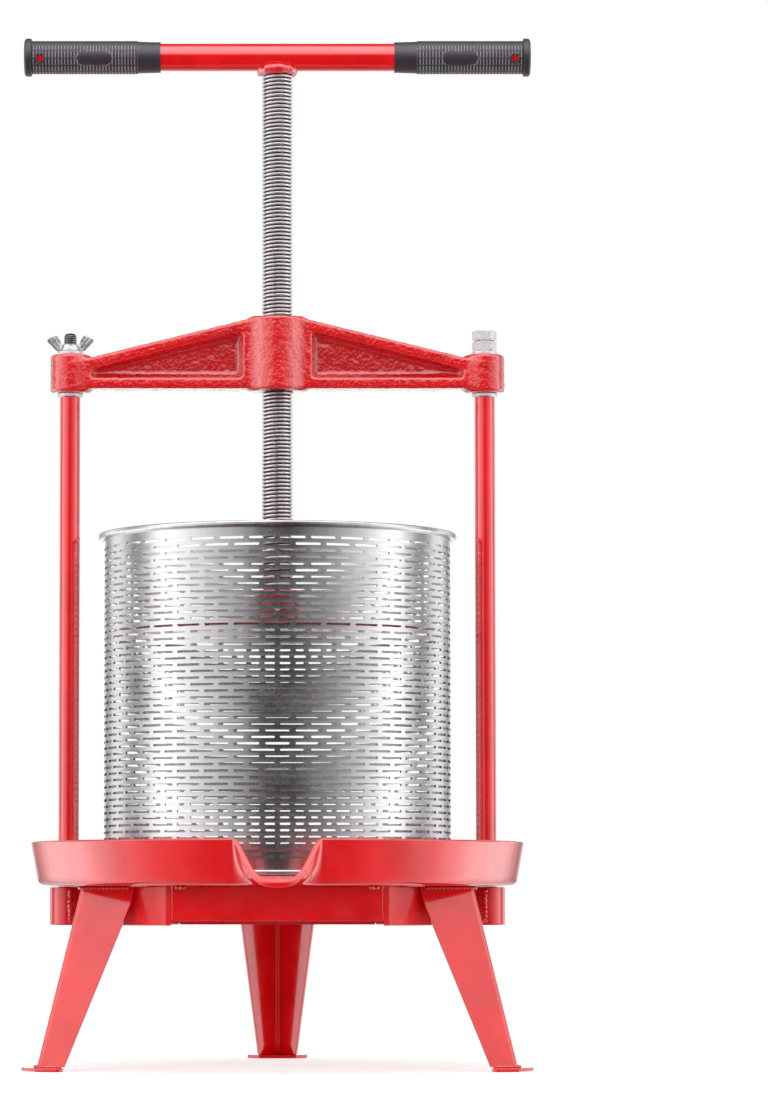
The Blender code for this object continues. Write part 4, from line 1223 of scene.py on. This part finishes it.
@dataclass
class CrossHandle(Assembly):
    """The tube across the top of the screw, its weld and the two moulded grips."""

    radius: float = 11.0
    wall: float = 2.0
    weld_reach: float = 12.4
    weld_radius: float = 3.7
    end: float = 200.0
    length: float = 107.5
    neck_length: float = 17.7
    neck_radius: float = 12.0
    body_radius: float = 13.05
    rib_height: float = 0.4
    rib_pitch: float = 2.5
    panel_radius: float = 13.3
    panel_half: tuple[float, float] = (13.5, 5.0)
    panel_middle: float = 52.0
    border_radius: float = 13.5
    vent_setback: float = 12.5
    vent_radius: float = 2.9
    vent_floor: float = 10.7
    flange_length: float = 5.4
    flange_radius: float = 12.6
    flange_round: float = 2.4
    mouth_radius: float = 11.2
    mouth_depth: float = 60.0
    tilt: float = math.radians(12.8)

    def axis(self) -> float:
        """The tube's height."""
        low, high = span("handle_bar")
        return (low[2] + high[2]) / 2

    def tube(self) -> None:
        """Makes the tube."""
        low, high = span("handle_bar")
        skin = collar(self.radius - self.wall, self.radius, low[0], high[0], 0.4, 2, 80)
        skin = skin.moved((0, 0, self.axis()), Matrix.Rotation(math.pi / 2, 3, "Y"))
        add_piece("handle_tube", skin, Body.SCREW, self.palette.tube_enamel, ["handle_bar"])

    def weld(self) -> None:
        """Makes the weld between screw and tube.

        It is a closed ring. Its middle goes round the screw and lies on the tube where the tube passes
        over it. Its radius varies with two sines, and noise roughens it where it started and stopped.
        """
        top = span("handle_weld")[1][2]
        angle, tilt = circle(200), circle(28)[:, None]
        y = self.weld_reach * np.sin(angle)
        under = self.axis() - np.sqrt(np.maximum(self.radius**2 - y**2, 0.2 * self.radius**2))
        middle = wrapped(self.weld_reach, angle, np.minimum(under, top - 3.2) - 0.2)
        size = self.weld_radius * (1 + 0.05 * np.sin(3 * angle + 0.6) + 0.04 * np.sin(8 * angle))
        rings = wrapped(1, angle, 0)[:, None] * np.cos(tilt) + np.array([0, 0, 1]) * np.sin(tilt)
        points = middle[:, None] + rings * size[:, None, None]
        lumps = lattice_noise(points.reshape(-1, 3), 2.6, 5).reshape(points.shape[:2])
        lumps = lumps * (0.2 + 0.6 * np.cos(angle) ** 2)[:, None]
        skin = net(points + rings * lumps[..., None], True)
        add_piece("handle_weld_bead", skin, Body.SCREW, self.palette.weld_enamel, ["handle_weld"], 80)

    def grip(self, side: Side) -> None:
        """Makes one grip.

        The surface is a radius over the distance from the mouth and the angle round the tube. Ribs are
        narrow crests of a wave along the length, cut by grooves along it, and leave smooth strips above
        and below. A round-ended panel and a vent hole lie on the front and back, worked out as the
        distance to a slot and to a disc on the unrolled surface. The grip sits a little turned on the
        tube, so that its panel looks down at whoever turns it.
        """
        node, length = f"grip_{side.word}", self.length
        rows = np.unique(np.concatenate([np.linspace(0, length, 431), [0.01, length - 0.01]]))
        angle = circle(144)
        s, a = np.meshgrid(rows, angle + self.tilt, indexing="ij")
        front = np.abs((a + math.pi) % TURN - math.pi)
        neck = self.neck_radius + 0.5 * s / self.neck_length + 0.25 * unit(1 - s / 1.5)
        wave = np.clip(2.0 * np.cos(TURN * (s - self.neck_length) / self.rib_pitch) - 0.5, -1, 1)
        strips = unit((np.sin(a) - 0.72) / 0.05) + unit((-np.sin(a) - 0.95) / 0.02)
        raised = (1 - unit(np.cos(14 * a) * 5 - 3.9)) * (1 - strips)
        ribs = self.body_radius + (self.rib_height * wave + 0.05) * raised
        flange_start = length - self.flange_length
        ribbed = unit((s - self.neck_length) / 0.6) * unit((flange_start - s) / 0.6)
        radius = toward(neck, ribs, ribbed)
        # The relief also sets the rubber's colour: the ribs' crests take a painted highlight.
        relief = toward(0.3, (0.5 + 0.5 * wave) * raised, ribbed)
        flange, edge = unit(s - flange_start), self.flange_round
        rounded = np.sqrt(unit(1 - (np.clip(s - (length - edge), 0, edge) / edge) ** 2))
        radius = np.where(s > flange_start, toward(radius, self.flange_radius + edge * rounded, flange), radius)
        relief = toward(relief, 0, flange)
        run, half = self.panel_half[0] - self.panel_half[1], self.panel_half[1]
        arc = 13.0 * np.minimum(front, math.pi - front)
        slot = np.hypot(np.maximum(np.abs(s - self.panel_middle) - run, 0), arc) - half
        hole = np.hypot(s - (length - self.vent_setback), 13.0 * front) - self.vent_radius
        # The panel's raised border gets a high relief, and so a painted highlight.
        for share, size, shade in (
            (unit(0.5 - slot / 0.5), self.panel_radius, 0.3),
            (unit(1 - np.abs(slot - 1.0) / 0.7), self.border_radius, 0.85),
            (unit(1 - np.abs(hole - 0.9) / 0.9), self.panel_radius, 0.0),
        ):
            radius, relief = toward(radius, size, share), toward(relief, shade, share)
        radius = np.where(hole < 0, self.vent_floor, radius)
        radius[-1], radius[0] = self.neck_radius, self.neck_radius + 0.05
        radii = np.pad(radius, ((2, 1), (0, 0)))
        radii[:2] = self.mouth_radius
        along = np.concatenate([[self.mouth_depth, 0], rows, rows[-1:]]) + (self.end - length)
        low, high = span(node)
        x, y = along[:, None] * side.value, -radii * np.cos(angle)
        points = places(x, y, radii * np.sin(angle) + (low[2] + high[2]) / 2)
        skin = net(points, relief=np.pad(relief, ((2, 1), (0, 0)), "edge").ravel())
        add_piece(f"{node}_moulding", skin, Body.SCREW, self.palette.rubber, [node], 60)

    def build(self) -> None:
        """Makes the tube, the weld and both grips."""
        self.tube()
        self.weld()
        for side in Side:
            self.grip(side)


@dataclass
class Stand(Assembly):
    """Legs, pads, flat bars, sockets and their welds under the tray."""

    under_tray: float = 139.2
    ridge_top: float = 173.2
    ridge_foot: float = 210.8
    flange_top: float = 43.7
    flange_foot: float = 22.6
    thickness: float = 2.5
    parallel: float = 13.5
    half_angle: float = math.radians(47)
    bend: float = 5.0
    pad_top: float = 3.3
    post_bore: float = 8.3
    edge: float = 0.7
    weld_steps: int = 44
    leg_bead: Triple = (1.9, 0.14, 3.2)
    foot_bead: Triple = (1.3, 0.14, 3.2)
    socket_bead: Triple = (2.5, 0.2, 4.4)
    rear_bead: Triple = (2.2, 0.12, 3.6)
    tack: Triple = (2.8, 0.24, 3.4)
    tack_half: float = 4.5
    tack_setback: float = 7.0
    leg_angles: dict[str, float] = field(
        default_factory=lambda: {"rear": 90.0, "front_left": 210.0, "front_right": 330.0}
    )
    weld_spots: dict[Side, tuple[float, ...]] = field(
        default_factory=lambda: {Side.LEFT: (278, 308, 52, 82), Side.RIGHT: (232, 262, 98, 128)}
    )

    def leg_section(self, ridge: float, flange: float, height: float) -> Array:
        """The bent plate's outline at one height: a rounded ridge along +X and two flanges."""
        cosine, sine = math.cos(self.half_angle), math.sin(self.half_angle)
        tip = (ridge - flange * cosine, flange * sine)
        heel = (tip[0] - self.thickness * sine, tip[1] - self.thickness * cosine)
        root = (ridge - self.thickness / sine, 0)
        corners = [(tip[0], -tip[1]), (ridge, 0), tip, heel, root, (heel[0], -heel[1])]
        flat = softened(corners, [0.5, self.bend, 0.5, 0.5, self.bend - 2, 0.5], 6, True)
        return np.concatenate([flat, np.full((len(flat), 1), height)], 1)

    def leg(self, name: str, degrees: float) -> None:
        """Makes one leg: the section carried from the tray down to the pad, with parallel flanges at first."""
        heights = np.array([self.under_tray, self.under_tray - self.parallel, self.pad_top])
        ridges = np.interp(heights, [self.pad_top, self.under_tray], [self.ridge_foot, self.ridge_top])
        flanges = (self.flange_top, self.flange_top, self.flange_foot)
        sections = np.stack([self.leg_section(*sizes) for sizes in zip(ridges, flanges, heights)])
        skin = lofted(sections).moved(turn=Matrix.Rotation(math.radians(degrees), 3, "Z"))
        add_piece(f"leg_{name}_angle", skin, Body.STAND, self.palette.enamel, [f"leg_{name}"], 30)

    def leg_welds(self, name: str, degrees: float) -> None:
        """Makes the beads along a leg's top and foot."""
        cosine, sine = math.cos(self.half_angle), math.sin(self.half_angle)
        share = np.linspace(0.0, 0.95, self.weld_steps)
        beads = []
        for way in (-1, 1):
            for ridge, flange, height, size in (
                (self.ridge_top, self.flange_top, self.under_tray - 1.0, self.leg_bead),
                (self.ridge_foot, self.flange_foot, self.pad_top + 0.4, self.foot_bead),
            ):
                run = share * flange
                beads.append(bead(places(ridge - run * cosine + 0.6, way * run * sine, height), *size))
        skin = joined(beads).moved(turn=Matrix.Rotation(math.radians(degrees), 3, "Z"))
        add_piece(f"leg_{name}_welds", skin, Body.STAND, self.palette.weld_enamel, sharp=80)

    def socket(self, side: Side) -> None:
        """Makes the sleeve that holds a post."""
        node = f"socket_{side.word}"
        low, high = span(node)
        skin = collar(self.post_bore, (high[1] - low[1]) / 2, low[2], high[2], 0.8, 3, 72)
        skin = skin.moved(((low[0] + high[0]) / 2, 0, 0))
        add_piece(f"{node}_sleeve", skin, Body.STAND, self.palette.enamel, [node])

    def bar_welds(self) -> None:
        """Makes the upright beads at sockets and rear bar, and the tacks at the apron's ends."""
        beads = []
        for side in Side:
            low, high = span(f"socket_{side.word}")
            x, radius = (low[0] + high[0]) / 2, (high[1] - low[1]) / 2 + 0.5
            height = np.linspace(low[2] + 1.5, high[2] - 1.0, self.weld_steps)
            for spot in np.radians(self.weld_spots[side]):
                wander = 0.35 * np.sin(height * 1.9)
                path = places(x + radius * np.cos(spot) + wander, radius * np.sin(spot), height)
                beads.append(bead(path, *self.socket_bead))
        low, high = span("rear_bar")
        height = np.linspace(low[2] + 1.0, high[2] - 1.0, 30)
        beads += [bead(places(x, (low[1] + high[1]) / 2, height), *self.rear_bead) for x in (low[0], high[0])]
        low, high = span("front_apron")
        for x in (low[0] + self.tack_setback, high[0] - self.tack_setback):
            run = np.linspace(-self.tack_half, self.tack_half, 30)
            beads.append(bead(places(x + run, low[1] - 0.3, self.under_tray - 1.2), *self.tack))
        add_piece("frame_welds", joined(beads), Body.STAND, self.palette.weld_enamel, sharp=80)

    def build(self) -> None:
        """Makes every part of the stand below the tray."""
        for name, degrees in self.leg_angles.items():
            self.leg(name, degrees)
            self.leg_welds(name, degrees)
            rounded_copy(f"foot_plate_{name}", f"foot_pad_{name}", Body.STAND, self.palette.enamel, self.edge)
        rounded_copy("front_apron_flat", "front_apron", Body.STAND, self.palette.enamel, self.edge)
        bars = [f"side_bar_{end}_{side.word}" for end in ("front", "rear") for side in Side]
        for node in ["rear_bar", *bars]:
            rounded_copy(f"{node}_flat", node, Body.STAND, self.palette.bar_enamel, self.edge)
        for side in Side:
            self.socket(side)
        self.bar_welds()


# ---- studio


@dataclass(frozen=True)
class Softbox:
    """A rectangular lamp that looks at a point."""

    name: str
    place: tuple[float, float, float]
    size: tuple[float, float]
    strength: float
    aim: tuple[float, float, float] = (0.0, 0.0, 0.4)

    def build(self) -> None:
        """Makes the lamp, unseen by the camera."""
        data = bpy.data.lights.new(self.name, "AREA")
        data.shape = "RECTANGLE"
        data.size, data.size_y = self.size
        data.energy = self.strength * self.size[0] * self.size[1] * math.pi
        lamp = bpy.data.objects.new(self.name, data)
        lamp.location = self.place
        lamp.rotation_euler = (Vector(self.aim) - Vector(self.place)).to_track_quat("-Z", "Y").to_euler()
        lamp.visible_camera = lamp.visible_glossy = False
        bpy.context.scene.collection.objects.link(lamp)


@dataclass
class Studio:
    """Camera, lamps, world and floor."""

    distance: float = 3.5
    eye_height: float = 0.1214
    tilt: float = math.radians(4.499)
    focal_pixels: float = 4474.3
    image: tuple[int, int] = (768, 1116)
    axis_pixel: float = 277.4
    sensor: float = 36.0
    ambient: float = 0.8
    left: Stops = (
        (0, 0.05), (13, 0.08), (23, 0.5), (33, 0.72), (45, 1.0), (57, 1.3), (70, 1.7), (80, 2.2), (90, 1.5),
        (97, 0.8), (103, 0.45), (112, 0.3), (119, 0.7), (127, 1.3), (138, 1.3), (146, 0.7), (154, 0.3), (180, 0.1),
    )
    right: Stops = (
        (0, 0.05), (17, 0.08), (27, 0.26), (38, 0.42), (48, 0.7), (60, 1.05), (73, 1.6), (83, 2.2), (91, 1.6),
        (97, 1.0), (104, 0.5), (113, 0.35), (120, 0.7), (128, 1.3), (139, 1.3), (147, 0.7), (155, 0.3), (180, 0.1),
    )
    above: Stops = (
        (0, 0.05), (12, 0.08), (19, 1.0), (28, 1.7), (50, 2.3), (75, 2.2), (88, 1.9), (97, 0.9), (105, 0.1),
        (152, 0.08), (165, 0.5), (180, 0.5),
    )
    low: Stops = (
        (0, 0.06), (36, 0.12), (56, 0.4), (78, 1.1), (90, 1.8), (105, 2.6), (119, 2.2), (128, 1.8), (134, 1.5),
        (140, 1.0), (147, 0.45), (155, 0.2), (165, 0.08), (180, 0.05),
    )
    below: Stops = ((0, 0.03), (92, 0.04), (110, 0.15), (132, 0.6), (152, 1.1), (180, 1.2))
    floor_half: float = 60.0

    def camera(self) -> None:
        """Places the camera low in front of the spout, tilted up, and shifted sideways as the picture is framed."""
        width, height = self.image
        data = bpy.data.cameras.new("photo_view")
        data.sensor_width = self.sensor
        data.lens = self.focal_pixels * self.sensor / height
        data.shift_x = (width / 2 - self.axis_pixel) / height
        data.clip_start, data.clip_end = 0.1, 100
        camera = bpy.data.objects.new("photo_view", data)
        camera.location = (0, -self.distance, self.eye_height)
        camera.rotation_euler = (math.pi / 2 + self.tilt, 0, 0)
        bpy.context.scene.collection.objects.link(camera)
        bpy.context.scene.camera = camera

    def lamps(self) -> None:
        """Hangs the softboxes."""
        for softbox in (
            Softbox("key_box", (-1.4, -1.9, 1.3), (0.9, 1.3), 4.5),
            Softbox("fill_box", (1.7, -1.7, 0.9), (0.7, 1.4), 3.0),
            Softbox("top_box", (0.0, -0.1, 2.3), (1.5, 1.2), 3.0),
        ):
            softbox.build()

    def world(self) -> None:
        """A white room, seen as white and evenly lit, that reflections see as softboxes.

        What a reflection sees depends on the angle from the lens's side of the room: one set of levels on
        each side of the press, one near the table, one above and one below, blended by the squares of the
        direction's X and Z.
        """
        world = bpy.data.worlds.new("white_room")
        bpy.context.scene.world = world
        world.use_nodes = True
        world.node_tree.nodes.clear()
        tree = Tree(world.node_tree)
        where = tree.node("TexCoord").outputs["Generated"]
        away = tree.node("VectorMath", {0: where, 1: (0, -1, 0)}, operation="DOT_PRODUCT").outputs["Value"]
        angle = tree.sum_of(tree.sum_of(away, 0.0, "ARCCOSINE"), math.degrees(1), "MULTIPLY")
        part = tree.node("SeparateXYZ", {0: where}).outputs
        across, up = tree.sum_of(part["X"], 2.0, "POWER"), tree.sum_of(part["Z"], 2.0, "POWER")
        total = tree.sum_of(tree.sum_of(across, up), 0.0001)
        tall = tree.sum_of(up, total, "DIVIDE")
        left, right, low, above, below = (
            tree.levels(angle, stops) for stops in (self.left, self.right, self.low, self.above, self.below)
        )
        beside = tree.mix(tree.between(part["X"], -0.1, 0.1), left, right)
        beside = tree.mix(tree.between(part["Z"], -0.12, -0.03), low, beside)
        upright = tree.mix(tree.between(part["Z"], -0.05, 0.05), below, above)
        ray = tree.node("LightPath").outputs
        glossy = tree.mix(ray["Is Glossy Ray"], self.ambient, tree.mix(tall, beside, upright))
        strength = tree.mix(ray["Is Camera Ray"], glossy, 1.0)
        background = tree.node("Background", {"Color": (1, 1, 1, 1), "Strength": strength})
        tree.node("OutputWorld", {0: background.outputs[0]})

    def floor(self) -> None:
        """Lays a pale floor that keeps the press's shadow: part paint, part its own white to the camera.

        Reflections look through it, so that the room alone sets what they see.
        """
        mesh = bpy.data.meshes.new("studio_floor")
        half = self.floor_half
        mesh.from_pydata([(-half, -half, 0), (half, -half, 0), (half, half, 0), (-half, half, 0)], [], [(0, 1, 2, 3)])
        floor = bpy.data.objects.new("studio_floor", mesh)
        bpy.context.scene.collection.objects.link(floor)
        floor.visible_glossy = False
        board = Board("studio_floor_paint")
        board.finish(Base_Color=(0.4, 0.4, 0.4, 1), Roughness=0.9, Specular_IOR_Level=0.1)
        seen = board.node("LightPath").outputs["Is Camera Ray"]
        glow = board.node("Emission", {"Color": (1, 1, 1, 1), "Strength": board.mix(seen, 0.3, 0.67)})
        both = board.node("AddShader", {0: board.shader.outputs[0], 1: glow.outputs[0]})
        board.tree.links.new(both.outputs[0], board.tree.nodes["Material Output"].inputs["Surface"])
        mesh.materials.append(board.material)

    def build(self) -> None:
        """Sets up the whole studio."""
        self.camera()
        self.lamps()
        self.world()
        self.floor()
        bpy.context.scene.view_settings.view_transform = "Standard"


def main() -> None:
    """Builds the studio and the press, sub-assembly by sub-assembly."""
    logging.basicConfig(level=logging.INFO, format="%(name)s: %(message)s")
    Studio().build()
    palette = Palette()
    for assembly in (Stand, JuiceTray, Drum, TieRods, CastBeam, StudHardware, Presser, Spindle, CrossHandle):
        LOG.info("building %s", assembly.__name__)
        assembly(palette).build()


if __name__ == "__main__":
    main()
